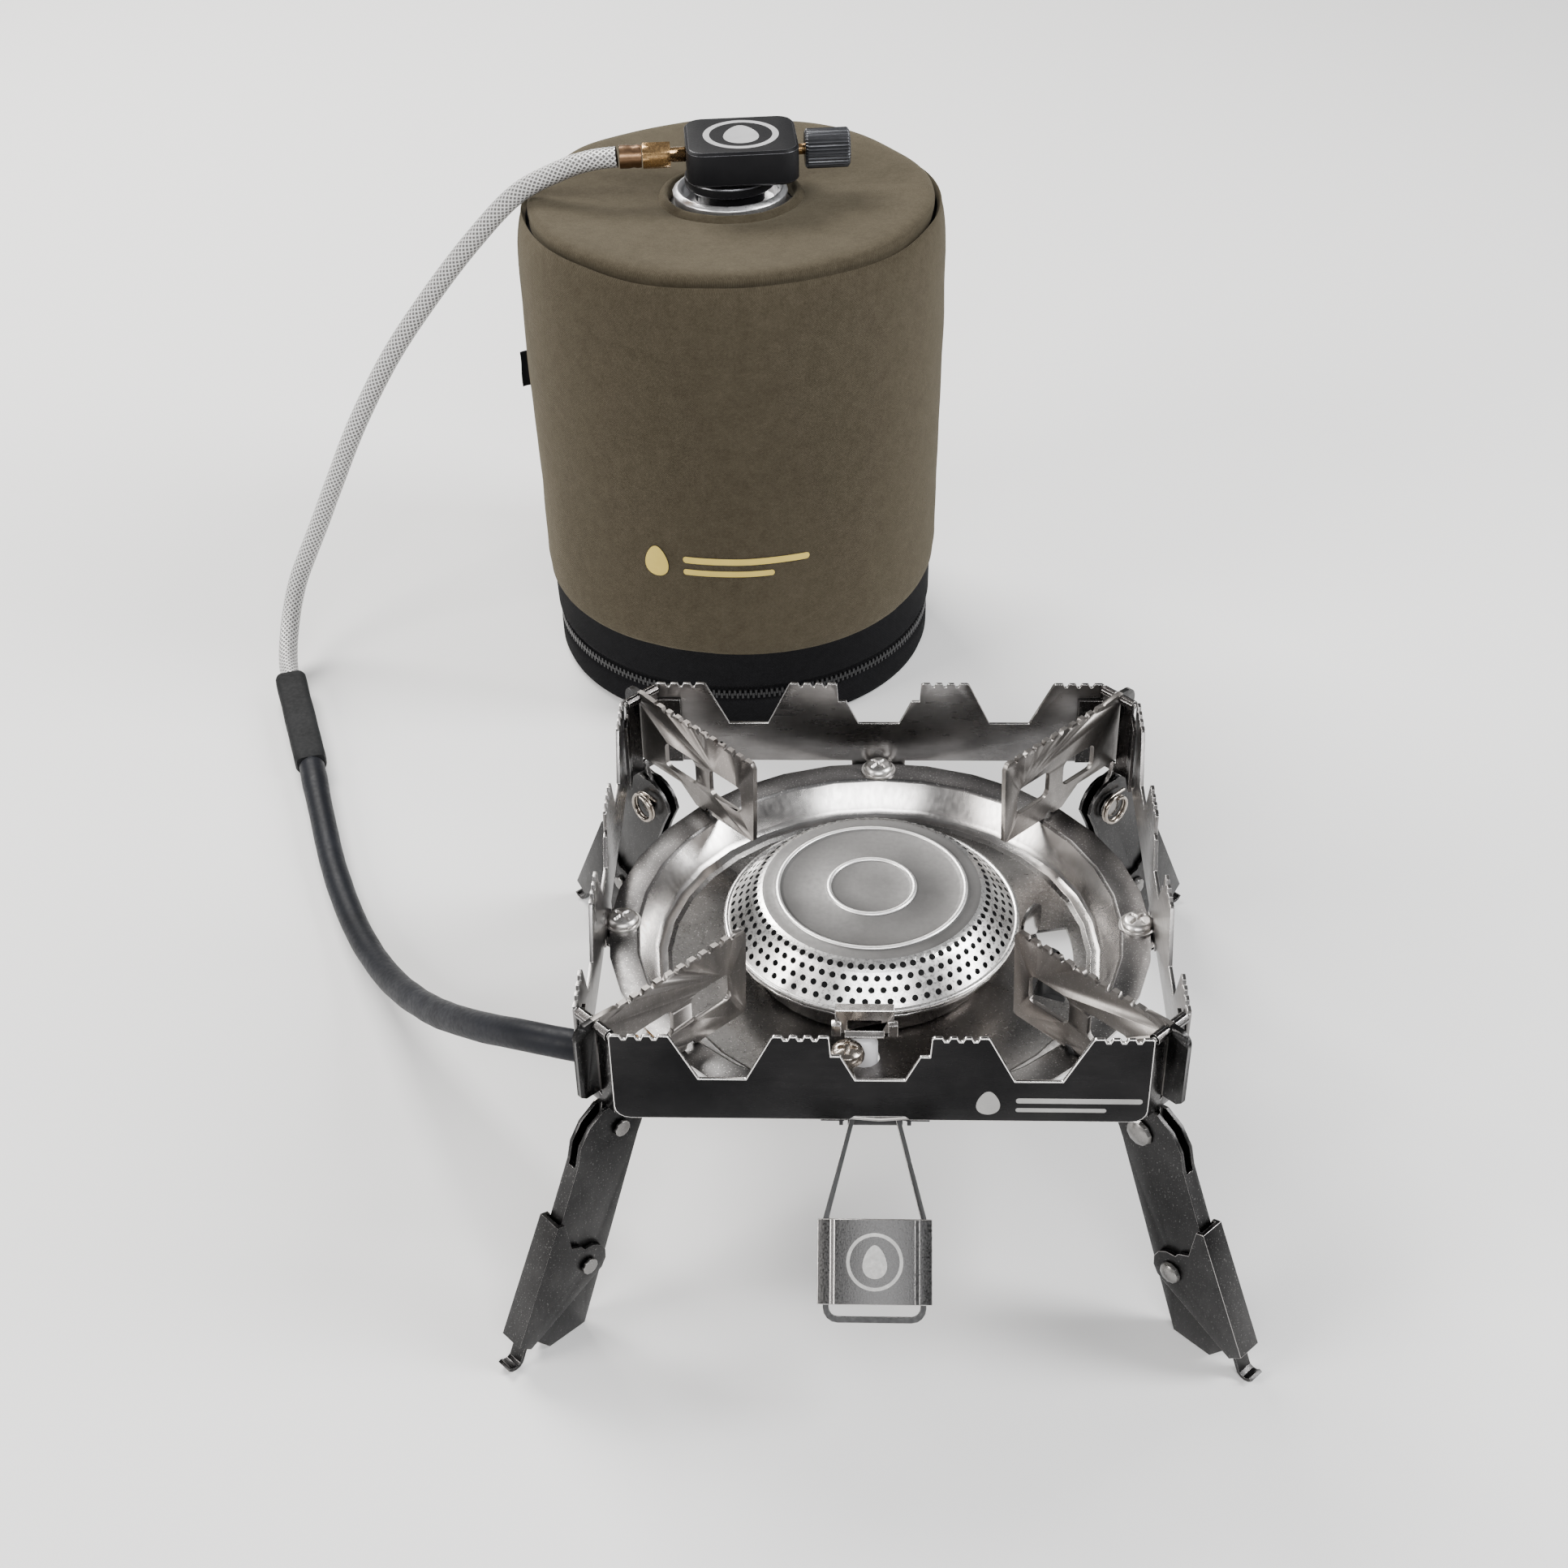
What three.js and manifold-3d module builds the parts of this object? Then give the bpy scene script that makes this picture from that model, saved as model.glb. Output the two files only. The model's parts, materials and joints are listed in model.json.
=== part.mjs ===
// A remote-canister camping stove: a square windscreen stove on four folding legs, joined by a braided hose
// to a gas canister in an insulated cover. Millimetres, +Z up, +Y from the stove towards the canister.
import * as THREE from "three";
import { mergeVertices } from "three/addons/utils/BufferGeometryUtils.js";
import Module from "manifold-3d";

const wasm = await Module();
wasm.setup();

// ---------- driving dimensions (the stove's burner axis is at x = 0, y = 0) ----------
// Moves the burner axis so that the whole object is centred on the origin.
const FRAME_SHIFT = [10.38, -91.69, 0];
const GAP = 0.3; // between pieces that touch
const SHEET = 0.8; // stainless sheet of the windscreen, legs and bowl

const SCREEN_HALF = 61.1; // burner axis to a windscreen panel's outer face
const PANEL_HALF = 53.3; // half a panel's straight length
const SCREEN_TOP = 80;
const NOTCH_FLOOR = 68.5;
const SCREEN_BOTTOM = 57.5;
const TOOTH = { depth: 0.95, wide: 1.5, narrow: 0.6 }; // the grooves between serrations

const FLANGE_R = 60.1;
const FLANGE_TOP = 56.9;
const BOWL_R = 53.3; // inner edge of the bowl's flange
const FLOOR_R = 46.5;
const FLOOR_TOP = 48.6;

const BURNER_X = -1.7;
const BURNER_TOP = 67.7;
const BURNER_TOP_R = 26;
const BURNER_RIM_R = 32.5;
const BURNER_RIM_Z = 59.8;
const NECK_R = 7.2; // burner neck that goes down through the bowl

const HINGE_S = 80.2; // burner axis to a pot support's pin, along the diagonal
const HINGE_Z = 78.9;
const BLADE = 1.2;
const LEG_PIVOT = [77, 49.5]; // distance along the diagonal, height
const LEG_WIDE = 3.6;
const SHOE_WIDE = 5.8;
const SHOE_RIVET = [89.3, 18];

const HANDLE_X = -0.9;
const HANDLE_PIVOT = [-56.7, 53.7]; // y, z
const HANDLE_SLOPE = THREE.MathUtils.degToRad(43); // below horizontal
const HANDLE_LONG = 40.6;
const HANDLE_HALF = 10.4; // half the loop's width at its outer end
const HANDLE_NECK = 5; // half its width at the pin

const CAN = [-41, 211]; // canister axis
const CAN_R = 54.5;
const CAN_RIM_TOP = 142.5;
const COVER_R = 59.8;
const COVER_TOP = 140.6;
const COVER_HOLE_R = 17.9;
const HEM = 24; // top of the cover's zipped base band

const VALVE_TURN = THREE.MathUtils.degToRad(6);
const VALVE = { wide: 30.2, deep: 26.5, low: 147.8, top: 157.4, x: 3.3, y: -1.6, axis: 152.6 };
const KNOB = { r: 5.3, long: 12.2, from: 20.6 };

const BRAID_D = 5.6;
const SLEEVE_D = 7;

// ---------- materials ----------
function metal(color, roughness, metalness = 1) {
  return new THREE.MeshStandardMaterial({ color, roughness, metalness });
}
const steel = () => metal(0xb9b6b4, 0.28);
const darkSteel = () => metal(0x8f8b8a, 0.3);
const matteSteel = () => metal(0x9d9b98, 0.55);
const brass = () => metal(0xb58a52, 0.35);
const black = () => metal(0x151517, 0.45, 0.2);
const rubber = () => metal(0x1d1e22, 0.8, 0);

// ---------- geometry helpers ----------
function solid(geometry) {
  const bare = geometry.clone();
  bare.deleteAttribute("normal");
  bare.deleteAttribute("uv");
  const merged = mergeVertices(bare, 1e-4);
  return new wasm.Manifold(
    new wasm.Mesh({
      numProp: 3,
      vertProperties: merged.attributes.position.array,
      triVerts: new Uint32Array(merged.index.array),
    }),
  );
}
function geometryOf(body) {
  const m = body.getMesh();
  const positions = new Float32Array(m.numVert * 3);
  for (let i = 0; i < m.numVert; i++)
    positions.set(m.vertProperties.subarray(i * m.numProp, i * m.numProp + 3), i * 3);
  const g = new THREE.BufferGeometry().setAttribute("position", new THREE.BufferAttribute(positions, 3));
  g.setIndex(new THREE.BufferAttribute(new Uint32Array(m.triVerts), 1));
  g.computeVertexNormals();
  return g;
}
// A piece is a geometry, or a list [solid, "+" or "-", solid, ...] joined and cut in that order.
function piece(name, shape, material) {
  let g = shape;
  if (Array.isArray(shape)) {
    let body = solid(shape[0]);
    for (let i = 1; i < shape.length; i += 2)
      body = shape[i] === "+" ? body.add(solid(shape[i + 1])) : body.subtract(solid(shape[i + 1]));
    g = geometryOf(body);
  }
  const mesh = new THREE.Mesh(g, material);
  mesh.name = name;
  return mesh;
}
function box(x0, x1, y0, y1, z0, z1) {
  const block = new THREE.BoxGeometry(x1 - x0, y1 - y0, z1 - z0);
  return block.translate((x0 + x1) / 2, (y0 + y1) / 2, (z0 + z1) / 2);
}
function rod(r, from, to, sides = 16) {
  const a = new THREE.Vector3(...from);
  const along = new THREE.Vector3(...to).sub(a);
  const g = new THREE.CylinderGeometry(r, r, along.length(), sides);
  g.translate(0, along.length() / 2, 0);
  g.applyQuaternion(new THREE.Quaternion().setFromUnitVectors(new THREE.Vector3(0, 1, 0), along.normalize()));
  return g.translate(a.x, a.y, a.z);
}
// A closed profile of [radius, height] points turned about the z axis.
function turned(points, segments = 24) {
  const profile = points.map(([r, z]) => new THREE.Vector2(r, z));
  if (THREE.ShapeUtils.area(profile) < 0) profile.reverse();
  const onAxis = profile[0].x === 0 && profile.at(-1).x === 0;
  if (!onAxis) profile.push(profile[0].clone());
  return new THREE.LatheGeometry(profile, segments).rotateX(Math.PI / 2);
}
function outline(points) {
  return new THREE.Shape(points.map(([x, y]) => new THREE.Vector2(x, y)));
}
// A plate standing in the x-z plane, its outline given as [x, z], centred on y = 0.
function standing(shape, thickness, curveSegments = 5) {
  const g = new THREE.ExtrudeGeometry(shape, { depth: thickness, bevelEnabled: false, curveSegments });
  return g.rotateX(Math.PI / 2).translate(0, thickness / 2, 0);
}
function flat(shape, low, high, curveSegments = 6) {
  const g = new THREE.ExtrudeGeometry(shape, { depth: high - low, bevelEnabled: false, curveSegments });
  return g.translate(0, 0, low);
}
function roundedBox(x0, x1, y0, y1, r) {
  const s = new THREE.Shape();
  s.moveTo(x0 + r, y0);
  s.lineTo(x1 - r, y0).absarc(x1 - r, y0 + r, r, -Math.PI / 2, 0);
  s.lineTo(x1, y1 - r).absarc(x1 - r, y1 - r, r, 0, Math.PI / 2);
  s.lineTo(x0 + r, y1).absarc(x0 + r, y1 - r, r, Math.PI / 2, Math.PI);
  s.lineTo(x0, y0 + r).absarc(x0 + r, y0 + r, r, Math.PI, 1.5 * Math.PI);
  return s;
}
function arcPoints(x, y, r, fromDeg, toDeg, steps) {
  return Array.from({ length: steps + 1 }, (_, i) => {
    const a = THREE.MathUtils.degToRad(fromDeg + ((toDeg - fromDeg) * i) / steps);
    return [x + r * Math.cos(a), y + r * Math.sin(a)];
  });
}
// Serrated edge from x = a to x = b at height z: rounded teeth with narrow grooves between them.
function serrated(a, b, z, teeth) {
  const dir = Math.sign(b - a);
  const pitch = Math.abs(b - a) / teeth;
  const points = [[a, z - 0.35], [a + dir * 0.45, z]];
  for (let i = 1; i < teeth; i++) {
    const x = a + dir * pitch * i;
    points.push([x - (dir * TOOTH.wide) / 2, z], [x - (dir * TOOTH.narrow) / 2, z - TOOTH.depth]);
    points.push([x + (dir * TOOTH.narrow) / 2, z - TOOTH.depth], [x + (dir * TOOTH.wide) / 2, z]);
  }
  points.push([b - dir * 0.45, z], [b, z - 0.35]);
  return points;
}
function atCorner(mesh, degrees) {
  const g = new THREE.Group();
  g.rotation.z = THREE.MathUtils.degToRad(degrees);
  g.add(mesh);
  return g;
}

// ---------- windscreen ----------
function panelOutline(archHalf) {
  const half = [
    ...serrated(PANEL_HALF, 41.3, SCREEN_TOP, 4),
    [36, NOTCH_FLOOR],
    [26.6, NOTCH_FLOOR],
    ...serrated(21.4, 10, SCREEN_TOP, 4),
    [9.7, 74.9],
    [7.8, 74.9],
    [4.9, NOTCH_FLOOR],
  ];
  const mirrored = half.map(([x, z]) => [-x, z]).reverse();
  const corner = arcPoints(PANEL_HALF - 3.2, SCREEN_BOTTOM + 3.2, 3.2, -90, 0, 4);
  const [low, high, foot] = [SCREEN_BOTTOM, 58.4, archHalf + 1];
  const arch = archHalf ? [[-foot, low], [-archHalf, high], [archHalf, high], [foot, low]] : [];
  return outline([...half, ...mirrored, ...corner.map(([x, z]) => [-x, z]).reverse(), ...arch, ...corner]);
}
// Each panel is made as the back one, then turned to its side; all but the front one have a tab screwed up
// under the bowl's flange.
function windscreenPanel(side, degrees) {
  const front = side === "front";
  const plate = standing(panelOutline(front ? 5 : 0), SHEET).translate(0, SCREEN_HALF - SHEET / 2, 0);
  const under = FLANGE_TOP - SHEET - GAP;
  const tab = flat(roundedBox(-6.5, 6.5, 54.8, SCREEN_HALF - 0.3, 2), under - SHEET, under);
  const neck = box(-6.5, 6.5, SCREEN_HALF - SHEET, SCREEN_HALF, under - SHEET, SCREEN_BOTTOM + 1);
  const hole = rod(1.7, [0, 57.1, 50], [0, 57.1, 60], 12);
  const parts = front ? plate : [plate, "+", neck, "+", tab, "-", hole];
  return atCorner(piece("windscreen_" + side, parts, darkSteel()), degrees);
}
// Corner plate: a chamfer plate with wings behind the panels' ends, two rolled barrels for the pot support's
// pin, and a tongue below for the leg's rivet. x runs outwards along the diagonal.
function cornerPlate(corner, degrees) {
  const inPlan = (x, y) => [(x - y) / Math.SQRT2, (x + y) / Math.SQRT2];
  const inner = SCREEN_HALF - SHEET - GAP;
  const bend = (inner - 80.2 * Math.SQRT2) * -1;
  const outer = [inPlan(47.5, -inner), inPlan(bend, -inner), inPlan(inner, -bend), inPlan(inner, -47.5)];
  const back = inner - SHEET;
  const bend2 = bend - 0.33;
  const inside = [inPlan(back, -47.5), inPlan(back, -bend2), inPlan(bend2, -back), inPlan(47.5, -back)];
  const low = FLANGE_TOP + 1;
  const wall = flat(outline([...outer, ...inside]), low, 76);
  const chamfer = box(79.4, 80.2, -4.6, 4.6, low, HINGE_Z);
  const barrel = rod(1.25, [HINGE_S - 0.3, -4.6, HINGE_Z], [HINGE_S - 0.3, 4.6, HINGE_Z], 12);
  const bore = rod(0.85, [HINGE_S - 0.3, -6, HINGE_Z], [HINGE_S - 0.3, 6, HINGE_Z], 10);
  const slot = box(70, 90, -0.95, 0.95, 60.2, 90);
  const [ps, pz] = LEG_PIVOT;
  const tongue = standing(
    outline([
      [80.2, 60.5], [79.4, 60.5], [78.6, 57], ...arcPoints(ps, pz, 4.4, 100, 330, 8), [81.2, 52], [80.2, 57],
    ]),
    1,
  );
  const pivot = rod(1.5, [ps, -2, pz], [ps, 2, pz], 12);
  const body = [wall, "+", chamfer, "+", barrel, "-", bore, "-", slot, "+", tongue, "-", pivot];
  return atCorner(piece("corner_plate_" + corner, body, steel()), degrees);
}

// ---------- pot supports ----------
function bladeOutline() {
  const top = SCREEN_TOP;
  return outline([
    [40.6, 57.8],
    [41.6, 57.3],
    [54.8, 57.3],
    [55.2, 58.5],
    [57, 58.5],
    [57.4, 57.3],
    [60.6, 57.3],
    [66, 61.3],
    [83.8, 61.3],
    [85.1, 62.4],
    [85.1, 77],
    ...arcPoints(82.2, 77.4, 2.9, 8, 80, 4),
    [78.6, 80.4],
    [74.6, top],
    ...serrated(74, 40.4, top, 11),
    [39.8, 78.4],
  ]);
}
function potSupport(corner, degrees) {
  const plate = bladeOutline();
  const windows = [roundedBox(44.4, 55.4, 63.4, 70.8, 1.8), roundedBox(60.3, 71.2, 63.4, 70.5, 1.8)];
  windows.push(outline(arcPoints(HINGE_S - 0.3, HINGE_Z, 1.05, 360, 30, 11)));
  plate.holes = windows;
  return atCorner(piece("pot_support_" + corner, standing(plate, BLADE, 3), steel()), degrees);
}
function supportPin(corner, degrees) {
  const pin = rod(0.6, [HINGE_S - 0.3, -4.7, HINGE_Z], [HINGE_S - 0.3, 4.7, HINGE_Z], 10);
  return atCorner(piece("support_pin_" + corner, pin, steel()), degrees);
}

// ---------- legs ----------
const legOuter = (z) => 88.4 + (46 - z) * 0.4455;
const legInner = (z) => 72 + (46.5 - z) * 0.408;
function leg(corner, degrees) {
  const [ps, pz] = LEG_PIVOT;
  const side = outline([
    [legInner(0), 0],
    [100.5, 0],
    [104.2, 5],
    [legOuter(7), 7],
    [legOuter(46), 46],
    [87.3, 50.4],
    [84.6, 54.2],
    [80.6, 56.6],
    ...arcPoints(ps, pz, 7, 75, 175, 5),
    [legInner(45), 45],
  ]);
  const hollow = outline([
    [60, -10],
    [legOuter(-10) - 0.95, -10],
    [legOuter(45) - 0.95, 45],
    [legOuter(45) + 4, 45.6],
    [100, 70],
    [60, 70],
  ]);
  const tongue = outline([
    [legOuter(9) - 0.9, 9],
    [legOuter(2.6) - 0.9, 2.6],
    ...arcPoints(109.4, 2.3, 2.3, 190, 330, 5),
    ...arcPoints(109.4, 2.3, 1.5, 330, 190, 4),
    [legOuter(9), 9],
  ]);
  const rivets = [LEG_PIVOT, SHOE_RIVET].map(([s, z]) => rod(1.5, [s, -3, z], [s, 3, z], 12));
  const channel = [standing(side, LEG_WIDE), "-", standing(hollow, LEG_WIDE - 2 * SHEET)];
  const body = [...channel, "-", rivets[0], "-", rivets[1]];
  body.push("+", standing(tongue, LEG_WIDE));
  return atCorner(piece("leg_" + corner, body, darkSteel()), degrees);
}
function shoe(corner, degrees) {
  const [rs, rz] = SHOE_RIVET;
  const side = outline([
    [95.8, 34],
    [94, 33.4],
    [92.9, 25.6],
    [90.4, 24.2],
    ...arcPoints(rs, rz, 4.9, 85, 225, 5),
    [105.9, 4.6],
    [108.7, 7.2],
  ]);
  const hollow = outline([[80, -5], [113.2, -5], [94.9, 33.6], [93.3, 40], [80, 40]]);
  const rivet = rod(1.5, [rs, -4, rz], [rs, 4, rz], 12);
  const body = [standing(side, SHOE_WIDE), "-", standing(hollow, SHOE_WIDE - 2 * SHEET), "-", rivet];
  return atCorner(piece("shoe_" + corner, body, darkSteel()), degrees);
}
// A domed rivet along y: head on the -y side, rolled tail on the +y side.
function rivet(name, [s, z], halfGrip, headR, degrees) {
  const g = halfGrip + GAP;
  const head = [[0, -g - 1.5], [headR * 0.55, -g - 1.3], [headR * 0.88, -g - 0.75], [headR, -g], [1.2, -g]];
  const tail = [[1.2, g], [2, g], [1.9, g + 0.7], [0, g + 0.7]];
  const shank = turned([...head, ...tail], 10).rotateX(-Math.PI / 2).translate(s, 0, z);
  return atCorner(piece(name, shank, steel()), degrees);
}

// ---------- drip bowl and burner ----------
function dripBowl() {
  const under = FLOOR_TOP - SHEET;
  const dish = turned([
    [FLANGE_R, FLANGE_TOP - SHEET],
    [FLANGE_R, FLANGE_TOP],
    [BOWL_R + 0.7, FLANGE_TOP],
    [BOWL_R, FLANGE_TOP - 0.5],
    [50.4, 50.6],
    [49.4, 49.6],
    [48.4, 49.3],
    [47.4, 49.3],
    [FLOOR_R, FLOOR_TOP],
    [NECK_R - 2, FLOOR_TOP],
    [NECK_R - 2, under],
    [FLOOR_R + 0.5, under],
    [48, 48.5],
    [49.9, 48.9],
    [51.2, 50.2],
    [BOWL_R + 0.9, FLANGE_TOP - SHEET],
  ], 32);
  const vent = outline([...arcPoints(0, 0, 43.5, -22, 12, 8), ...arcPoints(0, 0, 36.2, 12, -22, 8)]);
  const flap = standing(roundedBox(-3.8, 3.8, under, FLOOR_TOP + 9, 3.4), 0.75);
  flap.rotateZ(THREE.MathUtils.degToRad(56)).translate(34.2, 5.4, 0);
  const places = [[-1.5, -43, 1.9], [-6.7, -40, 1.8], [-3.2, -33.6, 3.4], [BURNER_X, 0, NECK_R + GAP]];
  const holes = places.map(([x, y, r]) =>
    rod(r, [x, y, 40], [x, y, 55], 14),
  );
  const body = [dish, "-", flat(vent, 40, 55), "+", flap];
  holes.forEach((h) => body.push("-", h));
  const screws = [[0, 57.1], [57.1, 0], [-57.1, 0]];
  screws.forEach(([x, y]) => body.push("-", rod(1.7, [x, y, 50], [x, y, 60], 12)));
  return piece("drip_bowl", body, steel());
}
function bead(r, z, half, high) {
  return [[r + half, z], [r + half * 0.4, z + high], [r - half * 0.4, z + high], [r - half, z]];
}
function burnerHead() {
  const wall = 0.7;
  const top = BURNER_TOP;
  const profile = [
    [BURNER_RIM_R - 0.7, BURNER_RIM_Z - 0.7],
    [BURNER_RIM_R, BURNER_RIM_Z - 0.4],
    [BURNER_RIM_R + 0.2, BURNER_RIM_Z + 0.2],
    [BURNER_RIM_R - 0.4, BURNER_RIM_Z + 0.8],
    [BURNER_RIM_R - 1.1, BURNER_RIM_Z + 0.9],
    [BURNER_TOP_R + 0.5, top - 1],
    [BURNER_TOP_R - 0.1, top - 0.2],
    [BURNER_TOP_R - 1, top],
    ...bead(20.6, top, 0.9, 0.45),
    ...bead(9.4, top, 0.8, 0.4),
    [0, top],
    [0, top - wall],
    [BURNER_TOP_R - 1.2, top - wall],
    [BURNER_RIM_R - 2, BURNER_RIM_Z + 0.6],
    [BURNER_RIM_R - 2, BURNER_RIM_Z - 0.7],
  ];
  // The profile touches the axis between its two zero radii, so it is turned from one to the other.
  const start = profile.findIndex(([r]) => r === 0) + 1;
  return piece("burner_head", turned([...profile.slice(start), ...profile.slice(0, start)], 32), matteSteel())
    .translateX(BURNER_X);
}
function burnerBowl() {
  const rimZ = BURNER_RIM_Z - 1;
  const bowl = turned(
    [
      [BURNER_RIM_R - 0.4, rimZ - 0.8],
      [BURNER_RIM_R - 0.2, rimZ],
      [BURNER_RIM_R - 2.6, rimZ],
      [26.4, 50.6],
      [25.4, 49.9],
      [NECK_R - 0.8, 49.9],
      [NECK_R - 0.8, 40],
      [NECK_R, 40],
      [NECK_R, 49.1],
      [25.8, 49.1],
      [27.2, 50.1],
      [BURNER_RIM_R - 2.1, rimZ - 0.8],
    ],
    28,
  );
  return piece("burner_bowl", bowl, steel()).translateX(BURNER_X);
}
// Mixing tube pushed up into the burner's neck, with four air windows above the jet.
function mixingTube() {
  const outer = NECK_R - 0.8 - GAP;
  const tube = turned([[outer, 30], [outer, 47], [outer - 0.8, 47], [outer - 0.8, 30]], 20);
  const windows = [box(-8, 8, -1.8, 1.8, 33, 38.5), box(-1.8, 1.8, -8, 8, 33, 38.5)];
  return piece("mixing_tube", [tube, "-", windows[0], "-", windows[1]], brass()).translateX(BURNER_X);
}
function jetHolder() {
  const hex = new THREE.CylinderGeometry(5.6, 5.6, 5.5, 6).rotateX(Math.PI / 2).translate(0, 0, 26.6);
  const plug = rod(4.6, [0, 0, 29], [0, 0, 31.2], 18);
  const nozzle = turned([[0, 31], [2.4, 31], [2.2, 32.2], [0.9, 33.6], [0, 33.6]], 14);
  const port = rod(2.2, [-9, 0, 26.6], [-3, 0, 26.6], 12);
  return piece("jet_holder", [hex, "+", plug, "+", nozzle, "-", port], brass()).translateX(BURNER_X);
}
const INLET = [-60.2, -33, 49.4]; // outer face of the stove's hose inlet
const INLET_WAY = [-0.95, 0.29, -0.1]; // the way the hose leaves it
function fuelPipe() {
  const route = new THREE.CatmullRomCurve3(
    [
      [-7.6, 0, 26.6],
      [-22, 0, 26.6],
      [-38, -2, 29],
      [-46, -10, 36],
      [-48.5, -20, 43],
      [-49.7, -28, 48.2],
      [-49.7, -34.6, 50.3],
    ].map((p) => new THREE.Vector3(...p)),
  );
  const ring = outline(arcPoints(0, 0, 1.9, 0, 315, 7));
  return piece("fuel_pipe", new THREE.ExtrudeGeometry(ring, { steps: 16, extrudePath: route }), steel());
}
function inletFitting() {
  const [x, y, z] = INLET;
  const at = (d) => [x - INLET_WAY[0] * d, y - INLET_WAY[1] * d, z - INLET_WAY[2] * d];
  const hex = new THREE.CylinderGeometry(4.4, 4.4, 6, 6).rotateZ(Math.PI / 2);
  const way = new THREE.Vector3(...INLET_WAY).normalize();
  hex.applyQuaternion(new THREE.Quaternion().setFromUnitVectors(new THREE.Vector3(1, 0, 0), way));
  hex.translate(...at(6));
  const pipeHole = rod(2.4, [-49.7, -42, 51.9], [-49.7, -25, 47.9], 12);
  return piece("inlet_fitting", [rod(3.4, at(0), at(13), 16), "+", hex, "-", pipeHole], brass());
}
function burnerClip() {
  const x0 = -9.3 - BURNER_X;
  const x1 = 3.1 - BURNER_X;
  const out = -BURNER_RIM_R - 0.5;
  const over = box(x0, x1, out - 0.7, -31.4, 61.2, 61.8);
  const face = box(x0, x1, out - 0.7, out, 55.4, 61.8);
  const window = box(x0 + 2.6, x1 - 2.6, out - 3, out + 0.5, 56.2, 59);
  const lip = box(x0 + 2, x1 - 2, out - 2.4, out, 55.4, 56);
  const ear = (from, to) => box(from, to, out - 1.8, out, 55.4, 58.6);
  const ears = [ear(x0 - 0.8, x0 + 1.2), ear(x1 - 1.2, x1 + 0.8)];
  const body = [over, "+", face, "-", window, "+", lip, "+", ears[0], "+", ears[1]];
  return piece("burner_clip", body, steel()).translateX(BURNER_X);
}
function electrode() {
  const [x, y] = [-3.2, -32.4];
  const side = [[0, 45.4], [1.7, 45.4], [1.9, 46.5], [3, 47.2], [3, 52.6], [2.2, 54.4], [0, 54.8]];
  const ceramic = turned(side, 18);
  return piece("electrode", ceramic.translate(x, y - 1.2, 0), metal(0xe9e8ea, 0.35, 0));
}
function electrodeScrew() {
  const shank = [[0, 46.2], [1.4, 46.2], [1.4, 54.6]];
  const head = turned([...shank, [3.6, 54.6], [3.7, 55.6], [3.2, 56.8], [1.6, 57.5], [0, 57.6]], 20);
  const cross = [box(-0.5, 0.5, -2, 2, 56.4, 59), box(-2, 2, -0.5, 0.5, 56.4, 59)];
  const screw = piece("electrode_screw", [head, "-", cross[0], "-", cross[1]], steel());
  return screw.translateX(-6.7).translateY(-40);
}

// ---------- igniter ----------
// A piezo igniter clipped up under the bowl at the side, with its lead to the electrode.
const IGNITER = [37.6, 42.9]; // x, z of its axis, which runs along y
function igniterBody() {
  const [x, z] = IGNITER;
  return piece("igniter_body", rod(4.4, [x, -12, z], [x, 4, z], 16), black());
}
function ignitionLead() {
  const [x, z] = IGNITER;
  const start = [[x, -12.6, z], [x - 0.8, -15.6, z + 1], [31, -20, 45.8], [24, -23.6, 46.4]];
  const route = [...start, [15, -27.4, 46.4], [6, -31.4, 46], [-1, -33.5, 45.4]];
  const curve = new THREE.CatmullRomCurve3(route.map((p) => new THREE.Vector3(...p)));
  const ring = outline(arcPoints(0, 0, 0.9, 0, 315, 7));
  return piece("ignition_lead", new THREE.ExtrudeGeometry(ring, { steps: 14, extrudePath: curve }), rubber());
}
// A bent bracket under the flange carries the handle's pin.
function handleBracket() {
  const [py, pz] = HANDLE_PIVOT;
  const high = FLANGE_TOP - SHEET - GAP;
  const plate = box(-11, 11, -59, -54.3, high - SHEET, high);
  const gap = box(-6.2, 6.2, -60, -54.9, high - 2, high + 1);
  const round = 1.6;
  const foot = [[py - round, high], [py + round, high], ...arcPoints(py, pz, round, 0, -180, 6)];
  const ear = (x) => standing(outline(foot), SHEET).rotateZ(Math.PI / 2).translate(x, 0, 0);
  const pinHole = rod(0.9, [-12, py, pz], [12, py, pz], 10);
  const body = [plate, "-", gap, "+", ear(-6.9), "+", ear(6.9), "-", pinHole];
  return piece("handle_bracket", body, steel()).translateX(HANDLE_X);
}

// ---------- handle ----------
// Built lying along -y from its pin at the origin, then tilted and placed.
function handlePart(mesh) {
  const g = new THREE.Group();
  g.position.set(HANDLE_X, HANDLE_PIVOT[0], HANDLE_PIVOT[1]);
  g.rotation.x = HANDLE_SLOPE;
  g.add(mesh);
  return g;
}
function loopOutline(inset) {
  const half = HANDLE_HALF - inset;
  const neck = HANDLE_NECK - inset;
  const far = -HANDLE_LONG + inset;
  const r = 3 - inset;
  const wide = -20;
  return outline([
    [-neck, inset],
    [-half, wide],
    ...arcPoints(-half + r, far + r, r, 180, 270, 4),
    ...arcPoints(half - r, far + r, r, 270, 360, 4),
    [half, wide],
    [neck, inset],
  ]);
}
function handleLoop() {
  const outer = flat(loopOutline(0), -1.5, 1.5);
  const inner = flat(loopOutline(1.2), -3, 3);
  const barrel = rod(1.5, [-5.6, 0, 0], [5.6, 0, 0], 16);
  const bore = rod(0.95, [-9, 0, 0], [9, 0, 0], 12);
  return handlePart(piece("handle_loop", [outer, "-", inner, "+", barrel, "-", bore], steel()));
}
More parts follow.
